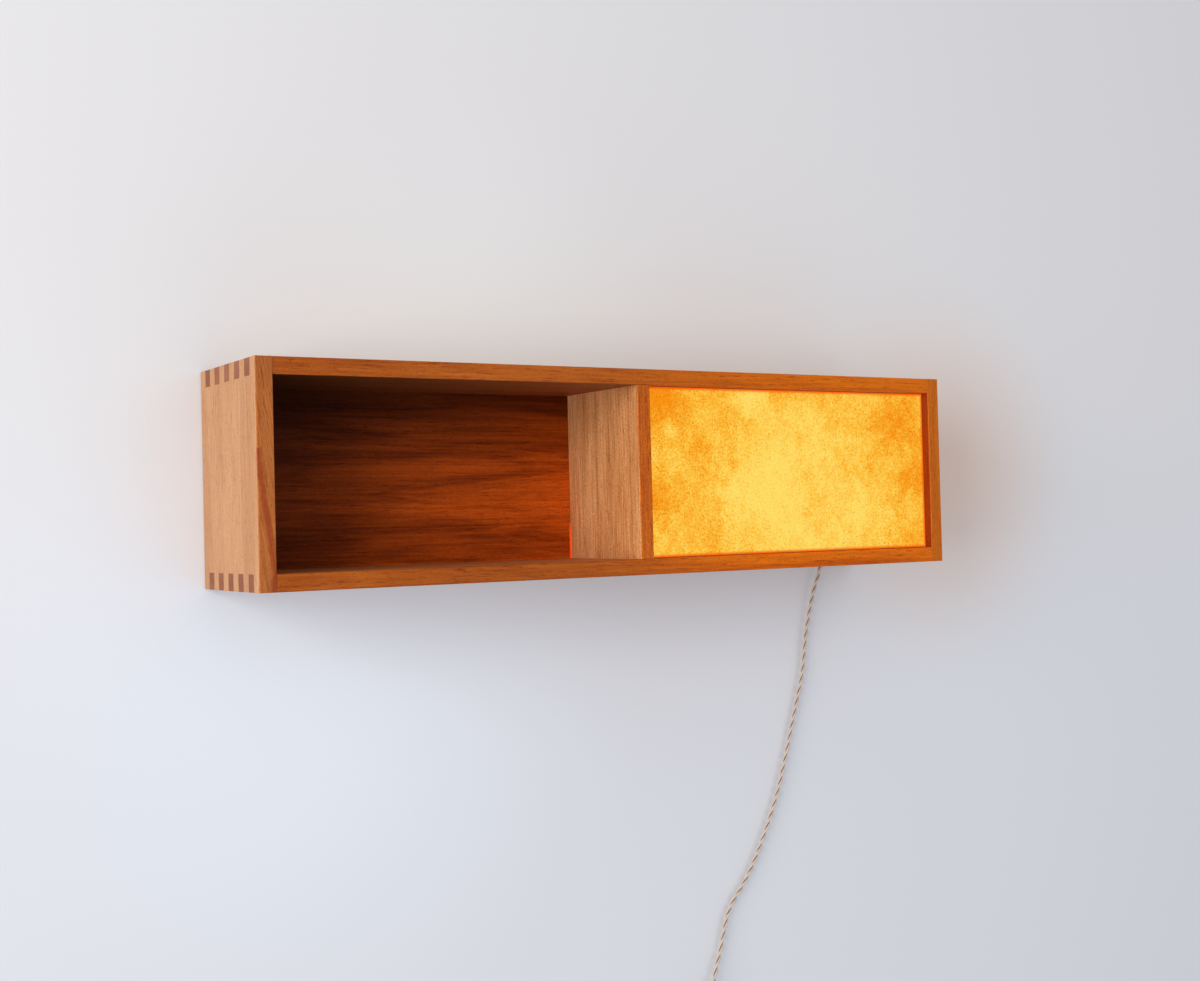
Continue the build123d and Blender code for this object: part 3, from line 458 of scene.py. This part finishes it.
def wood(name, look):
    material, tree, shader = newMaterial(name)
    place = objectPlace(tree)
    figure = grainNoise(tree, place, look, look["length"], look["figure"], look["figureDetail"],
                        look["figureRough"], look["wave"])
    streak, pore, grit, lines = (grainNoise(tree, place, look, ratio, look[kind], *settings)
                                 for kind, (ratio, *settings) in grainNoises.items())
    figure = ramp(tree, figure, *look["figureRange"])
    streak = ramp(tree, streak, *look["streakRange"])
    blend = maths(tree, "ADD", product(tree, figure, 1 - look["streakShare"]),
                  product(tree, streak, look["streakShare"]))
    colours = [mixColours(tree, blend, dark, light) for light, dark in look["faces"]]
    colour = mixColours(tree, faceShare(tree, 0), colours[2], colours[0])
    colour = mixColours(tree, faceShare(tree, 1), colour, colours[1])
    poreDark = ramp(tree, pore, *look["poreRange"], 0.0, look["poreDepth"])
    colour = mixColours(tree, poreDark, colour, look["poreColour"], "MULTIPLY")
    tones = [ramp(tree, value, *look["toneRange"], 1 - depth, 1 + depth, "LINEAR")
             for value, depth in ((grit, look["gritDepth"]), (lines, look["lineDepth"]))]
    colour = mixColours(tree, 1.0, colour, grey(tree, product(tree, *tones)), "MULTIPLY")
    colour = shadeWood(tree, place, colour, look)
    if "leak" in look:
        leakGlow(tree, place, shader, look["leak"])
    tree.links.new(colour, shader.inputs["Base Color"])
    tree.links.new(ramp(tree, streak, 0.0, 1.0, *look["rough"], "LINEAR"), shader.inputs["Roughness"])
    setInputs(shader, {"Specular IOR Level": look["gloss"]})
    height = maths(tree, "SUBTRACT", product(tree, streak, look["ridge"]), poreDark)
    tree.links.new(bump(tree, height, *look["bump"]), shader.inputs["Normal"])
    return material


def paint(piece, material):
    data = piece.data
    data.materials.clear()
    data.materials.append(material)


def paintWood():
    boards = {"side_left": leftLook, "side_right": rightLook, "top_board": topLook,
              "bottom_board": bottomLook, "divider": dividerLook}
    for node, look in boards.items():
        paint(frame["nodes"][node], wood(node + "Wood", look))
    back = wood("nicheBackWood", backLook)
    for node in ("niche_back", "light_rail"):
        paint(frame["nodes"][node], back)
    paint(frame["nodes"]["light_cover"], wood("coverBoard", coverLook))
    strip = wood("stripWood", stripLook)
    for node in ("batten_right", "batten_bottom", "stop_top", "stop_bottom", "stop_left",
                 "stop_right", "wall_cleat", "box_cleat"):
        paint(frame["nodes"][node], strip)


paintWood()
print("wood painted")


# parchment: mottled, lit from behind
parchmentLook = {
    "yellow": srgb(253, 221, 104), "amber": srgb(252, 188, 54), "orange": srgb(246, 138, 12),
    # the rim colour is painted shade along the screen's border, where the stops hold back the light from behind
    "speck": srgb(205, 92, 10), "rim": srgb(240, 84, 4), "rimShadeWidth": 0.0042,
    "paper": (0.05, 0.03, 0.002), "strength": 0.97, "rough": 0.8, "gloss": 0.0,
    "base": 0.5, "toAmber": (0.1, 0.55), "toYellow": (0.45, 0.9),
    # mottling: amount, squash, shift, and the noise's scale, detail, roughness and distortion
    "mottles": [(0.85, 0.75, (3.1, 0, 1.7), (20, 5, 0.62, 0.4)), (0.9, 0.8, (1.1, 0, 0.4), (90, 5, 0.72)),
                (2.3, 1.0, (0, 0, 0), (380, 5, 0.9))],
    "flecks": (0.7, (0.4, 0, 0.9), (700, 2, 0.6)), "fleckRange": (0.54, 0.72, 0.0, 0.85),
    "fleckDim": (0.9, 0.2, 0.35, 1.0),
    # soft blotches: across, up (each -1 to 1), reach, and how much brighter
    "blotches": [(0.05, 0.15, 0.75, 0.26), (-0.3, -0.3, 0.55, 0.22), (0.55, -0.55, 0.4, 0.2),
                 (-0.95, 0.8, 0.4, -0.34), (-0.66, 0.28, 0.16, -0.16), (-0.08, 0.85, 0.24, -0.1),
                 (0.78, 0.62, 0.3, -0.3), (0.95, -0.1, 0.22, -0.34), (-1.0, -0.3, 0.3, -0.36),
                 (-0.86, 0.5, 0.12, 0.3), (1.0, 0.4, 0.2, -0.2),
                 (-0.3, 0.85, 0.2, 0.28), (0.1, -0.9, 0.6, 0.26), (0.95, -0.85, 0.2, -0.2)],
    "blotchSquash": 0.62,
}
noiseMean = 0.5  # the value that a noise varies about


def blotchLevel(tree, across, up, look):
    level = 0.0
    for u, v, reach, weight in look["blotches"]:
        away = distanceTo(tree, across, up, (u, v), look["blotchSquash"])
        level = maths(tree, "ADD", level, ramp(tree, away, 0.0, reach, weight, 0.0))
    return level


def parchment(look):
    material, tree, shader = newMaterial("parchment")
    place = objectPlace(tree)
    sideways, _, upward = parts(tree, place)
    middle, half = (screenLow + screenHigh) / 2, (screenHigh - screenLow) / 2
    across = maths(tree, "DIVIDE", maths(tree, "SUBTRACT", sideways, middle.x), half.x)
    up = maths(tree, "DIVIDE", maths(tree, "SUBTRACT", upward, middle.z), half.z)

    def mottle(squash, shift, settings):
        return noise(tree, stretched(tree, place, (1, 1, squash), shift), *settings)

    level = maths(tree, "ADD", blotchLevel(tree, across, up, look), look["base"])
    for amount, *settings in look["mottles"]:
        off = maths(tree, "SUBTRACT", mottle(*settings), noiseMean)
        level = maths(tree, "ADD", level, product(tree, off, amount))
    warm = mixColours(tree, ramp(tree, level, *look["toAmber"]), look["orange"], look["amber"])
    colour = mixColours(tree, ramp(tree, level, *look["toYellow"]), warm, look["yellow"])
    fleck = ramp(tree, mottle(*look["flecks"]), *look["fleckRange"])
    fleck = product(tree, fleck, ramp(tree, level, *look["fleckDim"]))
    colour = mixColours(tree, fleck, colour, look["speck"])
    # a darker, redder rim along the border: painted shade where the stops hold back the light from behind
    gaps = [product(tree, maths(tree, "SUBTRACT", 1.0, maths(tree, "ABSOLUTE", share)), reach)
            for share, reach in ((across, half.x), (up, half.z))]
    rim = ramp(tree, maths(tree, "MINIMUM", *gaps), look["rimShadeWidth"], 0.0)
    tree.links.new(mixColours(tree, rim, colour, look["rim"]), shader.inputs["Emission Color"])
    setInputs(shader, {"Emission Strength": look["strength"], "Base Color": (*look["paper"], 1),
                       "Roughness": look["rough"], "Specular IOR Level": look["gloss"]})
    return material


paint(frame["nodes"]["parchment_screen"], parchment(parchmentLook))
print("parchment painted")


# screws: a cross recess cut into each head of a copy of the CAD screws
recessLook = {
    "nodes": ["cover_screws", "box_cleat_screws", "lampholder_screws", "terminal_screws", "clamp_screws",
              "switch_screws"],
    "length": 1.25, "width": 0.26, "depth": 0.32,  # as shares of the head's radius
    "flat": 0.00002, "merge": 0.000001,  # metres, for finding the heads and closing the mesh
}


def islands(mesh):
    parents = list(range(len(mesh.vertices)))

    def root(i):
        while parents[i] != i:
            parents[i] = parents[parents[i]]
            i = parents[i]
        return i

    for edge in mesh.edges:
        a, b = (root(i) for i in edge.vertices)
        parents[a] = b
    groups = {}
    for vertex in mesh.vertices:
        groups.setdefault(root(vertex.index), []).append(vertex.co.copy())
    return list(groups.values())


# the widest flat end of a screw: its middle, its radius, and the way it faces
def headOf(places, flat):
    ends = []
    for axis in range(3):
        for side, limit in ((-1, min(p[axis] for p in places)), (1, max(p[axis] for p in places))):
            ring = [p for p in places if abs(p[axis] - limit) < flat]
            spans = [max(p[k] for p in ring) - min(p[k] for p in ring) for k in range(3) if k != axis]
            ends.append((min(spans) / 2, sum(ring, Vector()) / len(ring), axis, side))
    return max(ends, key=lambda end: (round(end[0], 5), end[3]))


def cutBars(piece, heads, turned, look):
    bpy.ops.object.select_all(action="DESELECT")
    bars = []
    for radius, middle, axis, _ in heads:
        size = [look["width"] * radius] * 3
        size[axis] = 2 * look["depth"] * radius
        size[(axis + 1 + turned) % 3] = look["length"] * radius
        bpy.ops.mesh.primitive_cube_add(size=1, location=middle, scale=size)
        bars.append(bpy.context.object)
    for bar in bars:
        bar.select_set(True)
    bpy.context.view_layer.objects.active = bars[0]
    if len(bars) > 1:
        bpy.ops.object.join()
    cutter = bpy.context.object
    bpy.ops.object.select_all(action="DESELECT")
    bpy.context.view_layer.objects.active = piece
    piece.select_set(True)
    cut = piece.modifiers.new("recess", "BOOLEAN")
    cut.operation, cut.solver, cut.object = "DIFFERENCE", "EXACT", cutter
    bpy.ops.object.modifier_apply(modifier=cut.name)
    bpy.data.meshes.remove(cutter.data)


def cutRecesses(look):
    made = {}
    for node in look["nodes"]:
        words = node.split("_")
        source = frame["nodes"][node]
        piece = bpy.data.objects.new(words[0] + "".join(w.title() for w in words[1:]), source.data.copy())
        bpy.context.collection.objects.link(piece)
        bpy.ops.object.select_all(action="DESELECT")
        bpy.context.view_layer.objects.active = piece
        piece.select_set(True)
        bpy.ops.object.mode_set(mode="EDIT")
        bpy.ops.mesh.select_all(action="SELECT")
        bpy.ops.mesh.remove_doubles(threshold=look["merge"])
        bpy.ops.object.mode_set(mode="OBJECT")
        heads = [headOf(places, look["flat"]) for places in islands(piece.data)]
        for turned in (0, 1):
            cutBars(piece, heads, turned, look)
        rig.replaces(piece, node)
        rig.ride(piece, "lamp_box")
        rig.slot(piece, "steel_screws")
        made[node] = piece
    return made


recessed = cutRecesses(recessLook)
print("screw recesses cut")


# the cord: two cloth-covered strands twisted together along the route's own spline
cordLook = {
    "diameter": 0.0058, "lay": 0.027, "sides": 10, "ringsPerLay": 20, "resolution": 12, "order": 3,
    "upperLength": 0.54, "lowerLength": 1.39,
}
exitX, exitY, floorOut = 0.3385, -0.011, -0.156
coilFrontY, coilBackY = -0.0123, -0.0052
switchX = exitX - 0.1725
# offsets from the hole in the underside, towards the right, the wall and the ceiling
insideOffsets = [(0, 0, 0), (0, 0, 0.037), (0, -0.029, 0.046), (0, -0.053, 0.01905)]
upperOffsets = [
    (0, 0, 0), (0, 0, -0.011), (-0.0085, 0.0014, -0.030), (-0.0175, 0.0034, -0.066),
    (-0.0233, 0.0045, -0.100), (-0.0257, 0.0050, -0.127), (-0.0370, 0.0054, -0.165),
    (-0.0525, 0.0052, -0.217), (-0.0685, 0.0050, -0.268), (-0.0930, 0.0054, -0.321),
    (-0.1165, 0.0056, -0.361), (-0.1445, 0.0052, -0.391), (-0.1545, 0.0050, -0.430),
    (-0.1675, 0.0032, -0.462),
]
switchDrops = (0.480, 0.498)  # below the underside, where the cord runs straight into the switch
coilLook = {
    "turns": 7, "outerRadius": 0.042, "pitch": 0.0072, "layer": 0.0071, "pointsPerTurn": 16,
    "change": 0.5,  # the share of a turn in which the coil passes to its back layer
    "lowerStart": floorOut - 0.546, "middleZ": floorOut - 0.594,
    "tail": [(0, 0, 0), (0, 0, -0.011), (0.0035, -0.005, -0.025), (0.0035, -0.005, -0.036)],
}


def movedBy(place, offsets):
    return [tuple(p + d for p, d in zip(place, offset)) for offset in offsets]


insideRoute = movedBy((exitX, exitY, floorOut), insideOffsets)
insideRoute.append((exitX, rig.box("cord_inside")[0][1], insideRoute[-1][2]))
upperRoute = movedBy((exitX, exitY, floorOut), upperOffsets)
upperRoute += [(switchX, coilFrontY, floorOut - drop) for drop in switchDrops]


def coilPoint(turn):
    look = coilLook
    inward = (look["turns"] - look["change"]) / 2
    innerRadius = look["outerRadius"] - look["pitch"] * inward
    if turn <= inward:
        radius, y = look["outerRadius"] - look["pitch"] * turn, coilFrontY
    elif turn <= inward + look["change"]:
        share = (turn - inward) / look["change"]
        radius, y = innerRadius, coilFrontY + look["layer"] * share * share * (3 - 2 * share)
    else:
        radius, y = innerRadius + look["pitch"] * (turn - inward - look["change"]), coilBackY
    middleX = switchX - look["outerRadius"]
    return (middleX + radius * cos(tau * turn), y, look["middleZ"] - radius * sin(tau * turn))


def lowerRoute():
    look = coilLook
    diameter, middle, start = cordLook["diameter"], look["middleZ"], look["lowerStart"]
    points = [(switchX, coilFrontY, z) for z in (start, (start + middle) / 2, middle + diameter)]
    points += [coilPoint(i / look["pointsPerTurn"])
               for i in range(look["turns"] * look["pointsPerTurn"] + 1)]
    return points + movedBy((switchX, coilBackY, middle - diameter), look["tail"])


def splineLine(name, route):
    data = bpy.data.curves.new(name, "CURVE")
    data.dimensions = "3D"
    data.resolution_u = cordLook["resolution"]
    spline = data.splines.new("NURBS")
    spline.points.add(len(route) - 1)
    for point, place in zip(spline.points, route):
        point.co = (*place, 1)
    spline.order_u = cordLook["order"]
    spline.use_endpoint_u = True
    holder = bpy.data.objects.new(name, data)
    bpy.context.collection.objects.link(holder)
    line = bpy.data.meshes.new_from_object(holder)
    places = [v.co.copy() for v in line.vertices]
    bpy.data.objects.remove(holder)
    bpy.data.meshes.remove(line)
    return places


def evenly(places, step):
    distances = [0.0]
    for a, b in zip(places, places[1:]):
        distances.append(distances[-1] + (b - a).length)
    count = max(2, round(distances[-1] / step))
    out, k = [], 0
    for i in range(count + 1):
        want = distances[-1] * i / count
        while k < len(places) - 2 and distances[k + 1] < want:
            k += 1
        span = distances[k + 1] - distances[k]
        out.append(places[k].lerp(places[k + 1], (want - distances[k]) / span if span else 0))
    return out, distances[-1]


def frames(places):
    tangents = [(places[min(i + 1, len(places) - 1)] - places[max(i - 1, 0)]).normalized()
                for i in range(len(places))]
    across = tangents[0].orthogonal().normalized()
    out = []
    for tangent in tangents:
        across = (across - tangent * across.dot(tangent)).normalized()
        out.append((tangent, across, tangent.cross(across)))
    return out


def twistedPair(name, places, look, material):
    diameter, sides = look["diameter"], look["sides"]
    line, length = evenly(places, look["lay"] / look["ringsPerLay"])
    bases = frames(line)
    strandRadius = offset = diameter / 4
    vertices, faces, spots = [], [], []
    for strand in (0, 1):
        first = len(vertices)
        centres = []
        for i, (place, (_, across, over)) in enumerate(zip(line, bases)):
            angle = tau * (i * length / (len(line) - 1) / look["lay"]) + pi * strand
            centres.append(place + (across * cos(angle) + over * sin(angle)) * offset)
        for centre, place, (tangent, _, _) in zip(centres, line, frames(centres)):
            out = centre - place
            out = (out - tangent * out.dot(tangent)).normalized()
            over = tangent.cross(out)
            for k in range(sides):
                turn = tau * k / sides
                vertices.append(centre + (out * cos(turn) + over * sin(turn)) * strandRadius)
        rings = len(line)
        for i in range(rings - 1):
            for k in range(sides):
                n = (k + 1) % sides
                a, b = first + i * sides, first + (i + 1) * sides
                faces.append((a + k, a + n, b + n, b + k))
                s0, s1 = i * length / (rings - 1), (i + 1) * length / (rings - 1)
                v0, v1 = k / sides, (k + 1) / sides
                spots += [(s0, v0), (s0, v1), (s1, v1), (s1, v0)]
        for i, order in ((0, reversed(range(sides))), (rings - 1, range(sides))):
            faces.append(tuple(first + i * sides + k for k in order))
            spots += [(i * length / (rings - 1), 0.5)] * sides
    mesh = bpy.data.meshes.new(name)
    mesh.from_pydata(vertices, [], faces)
    layer = mesh.uv_layers.new(name="along")
    for loop, spot in zip(layer.data, spots):
        loop.uv = spot
    mesh.polygons.foreach_set("use_smooth", [True] * len(mesh.polygons))
    mesh.materials.append(material)
    piece = bpy.data.objects.new(name, mesh)
    bpy.context.collection.objects.link(piece)
    return piece, line, length


# the cloth's darker colour where the two strands meet is painted shade
clothLook = {
    "stitch": 0.0016, "around": 8, "groove": (0.24, 0.06), "weaveShare": 0.2, "yarn": (900, 3, 0.7),
    "shadeRange": (0.15, 0.85), "dark": srgb(196, 176, 160), "light": srgb(234, 218, 204),
    "grooveColour": srgb(138, 114, 98), "rough": 0.85, "gloss": 0.15, "sheen": 0.15,
    "bump": (0.4, 0.0002),
}


def cordCloth(look):
    material, tree, shader = newMaterial("cordCloth")
    run, turn, _ = parts(tree, putNode(tree, "UVMap", {"uv_map": "along"}).outputs[0])
    along = maths(tree, "DIVIDE", run, look["stitch"])
    around = product(tree, turn, look["around"])
    # painted shade on the sides where the two strands meet
    groove = ramp(tree, apart(tree, turn, 0.5), *look["groove"])  # where the strands meet
    weave = product(tree, *(maths(tree, "SINE", product(tree, maths(tree, way, along, around), tau))
                            for way in ("ADD", "SUBTRACT")))
    yarn = noise(tree, objectPlace(tree), *look["yarn"])
    shade = ramp(tree, maths(tree, "ADD", product(tree, weave, look["weaveShare"]), yarn),
                 *look["shadeRange"])
    colour = mixColours(tree, shade, look["dark"], look["light"])
    colour = mixColours(tree, groove, colour, look["grooveColour"])
    tree.links.new(colour, shader.inputs["Base Color"])
    setInputs(shader, {"Roughness": look["rough"], "Specular IOR Level": look["gloss"],
                       "Sheen Weight": look["sheen"]})
    tree.links.new(bump(tree, weave, *look["bump"]), shader.inputs["Normal"])
    return material


def makeCords(look):
    cloth = cordCloth(clothLook)
    inside, _, _ = twistedPair("cordInside", splineLine("insideLine", insideRoute), look, cloth)
    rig.replaces(inside, "cord_inside")
    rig.ride(inside, "lamp_box")
    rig.slot(inside, "cord_cloth")
    upper, line, _ = twistedPair("cordUpper", splineLine("upperLine", upperRoute), look, cloth)
    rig.replaces(upper, "cord_upper")
    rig.ride(upper, "lamp_box")
    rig.slot(upper, "cord_cloth")
    switch = ["switch_front_shell", "switch_back_shell", "switch_rocker", "rocker_pin",
              "switch_contacts", "switch_screws"]
    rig.cord(upper, exit=upperRoute[0], length=look["upperLength"], diameter=look["diameter"],
            far_end="fitting", stiffness="limp", lay="hanging", path=line,
            with_pieces=[recessed.get(n) or frame["nodes"][n] for n in switch])
    lower, line, _ = twistedPair("cordLower", splineLine("lowerLine", lowerRoute()), look, cloth)
    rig.replaces(lower, "cord_lower", "cord_coil", "cord_tail")
    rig.ride(lower, "lamp_box")
    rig.slot(lower, "cord_cloth")
    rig.cord(lower, exit=lowerRoute()[0], length=look["lowerLength"], diameter=look["diameter"],
            far_end="plug", stiffness="limp", lay="coiled", path=line,
            with_pieces=[frame["nodes"][n] for n in ("plug_body", "plug_blades", "coil_tie")])


makeCords(cordLook)
print("cords made")


# plastics, metals and glass
mottleLook = {"noise": (400, 3, 0.6), "depth": 0.06, "range": (0.3, 0.7), "roughSpread": 0.05,
              "bump": (0.08, 0.0002)}
bulbLook = {
    "glass": (1, 0.98, 0.94), "glassRough": 0.02, "glassIndex": 1.45,
    "filament": (1.0, 0.62, 0.25), "filamentDark": 0.85, "filamentNoise": (800, 2, 0.5), "strength": 4.0,
}
fittingLooks = {
    "zincSteel": {"colour": (0.62, 0.62, 0.63), "rough": 0.32, "metal": 1.0,
                  "nodes": [*recessLook["nodes"], "rocker_pin", "stop_brads"]},
    "brass": {"colour": (0.82, 0.62, 0.28), "rough": 0.28, "metal": 1.0,
              "nodes": ["socket_sleeve_left", "socket_sleeve_right", "socket_contact_left",
                        "socket_contact_right", "switch_contacts", "plug_blades"]},
    "blackPhenolic": {"colour": (0.02, 0.018, 0.016), "rough": 0.3,
                      "nodes": ["lampholder_left", "lampholder_right"]},
    "brownPhenolic": {"colour": (0.10, 0.045, 0.02), "rough": 0.3, "coat": 0.3,
                      "nodes": ["switch_front_shell", "switch_back_shell", "plug_body"]},
    "ivoryPlastic": {"colour": (0.75, 0.66, 0.48), "rough": 0.35, "nodes": ["switch_rocker"]},
    "nylon": {"colour": (0.8, 0.78, 0.72), "rough": 0.5, "nodes": ["terminal_block", "cord_clamp"]},
    "capMetal": {"colour": (0.7, 0.7, 0.68), "rough": 0.25, "metal": 1.0,
                 "nodes": ["bulb_cap_left", "bulb_cap_right"]},
    "opalPane": {"colour": (0.85, 0.83, 0.78), "rough": 0.4, "nodes": ["screen_pane"]},
    "wireSleeve": {"colour": (0.22, 0.12, 0.06), "rough": 0.5, "nodes": ["wires_left", "wires_right"]},
    "tieBand": {"colour": (0.10, 0.06, 0.035), "rough": 0.8, "nodes": ["coil_tie"]},
}


def plain(name, look):
    material, tree, shader = newMaterial(name)
    grain = noise(tree, objectPlace(tree), *mottleLook["noise"])
    dark, light = (tuple(min(1, c * (1 + depth)) for c in look["colour"])
                   for depth in (-mottleLook["depth"], mottleLook["depth"]))
    tree.links.new(mixColours(tree, grain, dark, light), shader.inputs["Base Color"])
    roughness = ramp(tree, grain, *mottleLook["range"], look["rough"] - mottleLook["roughSpread"],
                     look["rough"] + mottleLook["roughSpread"])
    tree.links.new(roughness, shader.inputs["Roughness"])
    setInputs(shader, {"Metallic": look.get("metal", 0.0), "Coat Weight": look.get("coat", 0.0)})
    tree.links.new(bump(tree, grain, *mottleLook["bump"]), shader.inputs["Normal"])
    return material


def glass(look):
    material, _, shader = newMaterial("bulbGlass")
    setInputs(shader, {"Base Color": (*look["glass"], 1), "Transmission Weight": 1.0,
                       "Roughness": look["glassRough"], "IOR": look["glassIndex"]})
    return material


def filament(look):
    material, tree, shader = newMaterial("filament")
    grain = noise(tree, objectPlace(tree), *look["filamentNoise"])
    dark = tuple(c * look["filamentDark"] for c in look["filament"])
    tree.links.new(mixColours(tree, grain, dark, look["filament"]), shader.inputs["Emission Color"])
    setInputs(shader, {"Emission Strength": look["strength"]})
    return material


def paintFittings():
    for name, look in fittingLooks.items():
        material = plain(name, look)
        for node in look["nodes"]:
            paint(recessed.get(node) or frame["nodes"][node], material)
    for part, material in (("glass", glass(bulbLook)), ("filament", filament(bulbLook))):
        for side in ("left", "right"):
            paint(frame["nodes"]["bulb_" + part + "_" + side], material)


paintFittings()
print("fittings painted")


# the wall and the floor, which aren't part of the object, and the light
stageLook = {
    # the wall is darker and bluer towards the bottom: painted shade
    "wallShadeBelow": (0.775, 0.785, 0.81), "wallLightAbove": (0.805, 0.79, 0.785), "wallTurn": (-0.45, 0.2),
    # painted pools of light and shade on the wall: place, reach and tint
    "casts": [((-0.28, -0.22), 0.42, (1.08, 1.13, 1.17)), ((-0.5, -0.05), 0.3, (1.0, 1.02, 1.03)),
              ((-0.1, 0.1), 0.3, (1.04, 1.07, 1.07)), ((0.55, -0.05), 0.27, (1.03, 0.83, 0.70))],
    "floorColour": (0.9, 0.9, 0.9), "wallSize": 8.0, "floorSize": 60.0, "floorLevel": -1.35,
    "wallY": 0.001, "below": (0.86, 0.94, 1.12), "above": (1.0, 0.97, 0.94), "skyTurn": (-0.5, 0.5),
    "worldStrength": 0.58, "backdrop": (0.8, 0.8, 0.82),
}
lampAim = (0, -0.05, -0.05)
lamps = {
    "window": {"place": (-3.0, -1.6, 0.25), "size": 2.2, "power": 75, "colour": (1.0, 0.98, 0.96)},
    "fill": {"place": (0.8, -2.8, 0.2), "size": 2.5, "power": 10, "colour": (0.96, 0.98, 1.0)},
}


# the wall's colour: painted shade towards the bottom and painted pools of light and shade
def wallColour(tree, look):
    across, _, up = parts(tree, objectPlace(tree))
    colour = mixColours(tree, ramp(tree, up, *look["wallTurn"]), look["wallShadeBelow"], look["wallLightAbove"])
    return paintPools(tree, colour, across, up, look["casts"])


def stagePlane(name, corners, colourOf):
    mesh = bpy.data.meshes.new(name)
    mesh.from_pydata(corners, [], [(0, 1, 2, 3)])
    material = bpy.data.materials.new(name)
    material.use_nodes = True
    tree = material.node_tree
    tree.nodes.clear()
    solid = putNode(tree, "BsdfDiffuse", Color=colourOf(tree))
    clear = putNode(tree, "BsdfTransparent")
    path = putNode(tree, "LightPath")
    seen = maths(tree, "MAXIMUM", path.outputs["Is Camera Ray"], path.outputs["Is Glossy Ray"])
    seen = maths(tree, "MAXIMUM", seen, path.outputs["Is Transmission Ray"])
    front = maths(tree, "SUBTRACT", 1.0, putNode(tree, "NewGeometry").outputs["Backfacing"])
    both = putNode(tree, "MixShader", i0=product(tree, seen, front), i1=clear.outputs[0],
                   i2=solid.outputs[0])
    output = putNode(tree, "OutputMaterial")
    tree.links.new(both.outputs[0], output.inputs[0])
    mesh.materials.append(material)
    plane = bpy.data.objects.new(name, mesh)
    bpy.context.collection.objects.link(plane)
    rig.stage(plane)


def addLight(name, look):
    data = bpy.data.lights.new(name, "AREA")
    data.size = look["size"]
    data.energy = look["power"]
    data.color = look["colour"]
    light = bpy.data.objects.new(name, data)
    bpy.context.collection.objects.link(light)
    light.location = look["place"]
    aim = Vector(lampAim) - Vector(look["place"])
    light.rotation_euler = aim.to_track_quat("-Z", "Y").to_euler()


def addStage(look):
    size, level, reach = look["wallSize"] / 2, look["floorLevel"], look["floorSize"] / 2
    wall = [(x, look["wallY"], z) for x, z in ((-size, level), (size, level), (size, size), (-size, size))]
    floor = [(x * reach, y * reach, level) for x, y in ((-1, -1), (1, -1), (1, 1), (-1, 1))]
    stagePlane("wall", wall, lambda tree: wallColour(tree, look))
    stagePlane("floor", floor, lambda tree: (*look["floorColour"], 1))


def addSky(look):
    world = bpy.context.scene.world or bpy.data.worlds.new("world")
    bpy.context.scene.world = world
    world.use_nodes = True
    tree = world.node_tree
    tree.nodes.clear()
    path = putNode(tree, "LightPath")
    upward = parts(tree, putNode(tree, "TexCoord").outputs["Generated"])[2]
    sky = mixColours(tree, ramp(tree, upward, *look["skyTurn"]), look["below"], look["above"])
    light = putNode(tree, "Background", Color=sky, Strength=look["worldStrength"])
    pale = putNode(tree, "Background", Color=(*look["backdrop"], 1), Strength=1.0)
    both = putNode(tree, "MixShader", i0=path.outputs["Is Camera Ray"], i1=light.outputs[0],
                   i2=pale.outputs[0])
    output = putNode(tree, "OutputWorld")
    tree.links.new(both.outputs[0], output.inputs[0])
    bpy.context.scene.view_settings.view_transform = "Standard"


addStage(stageLook)
addSky(stageLook)
for name, look in lamps.items():
    addLight(name, look)
print("stage and light set")

low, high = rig.bounds()
with open("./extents.json", "w") as file:
    json.dump({"cad": [list(c) for c in cadBox], "visual": [list(low), list(high)]}, file)
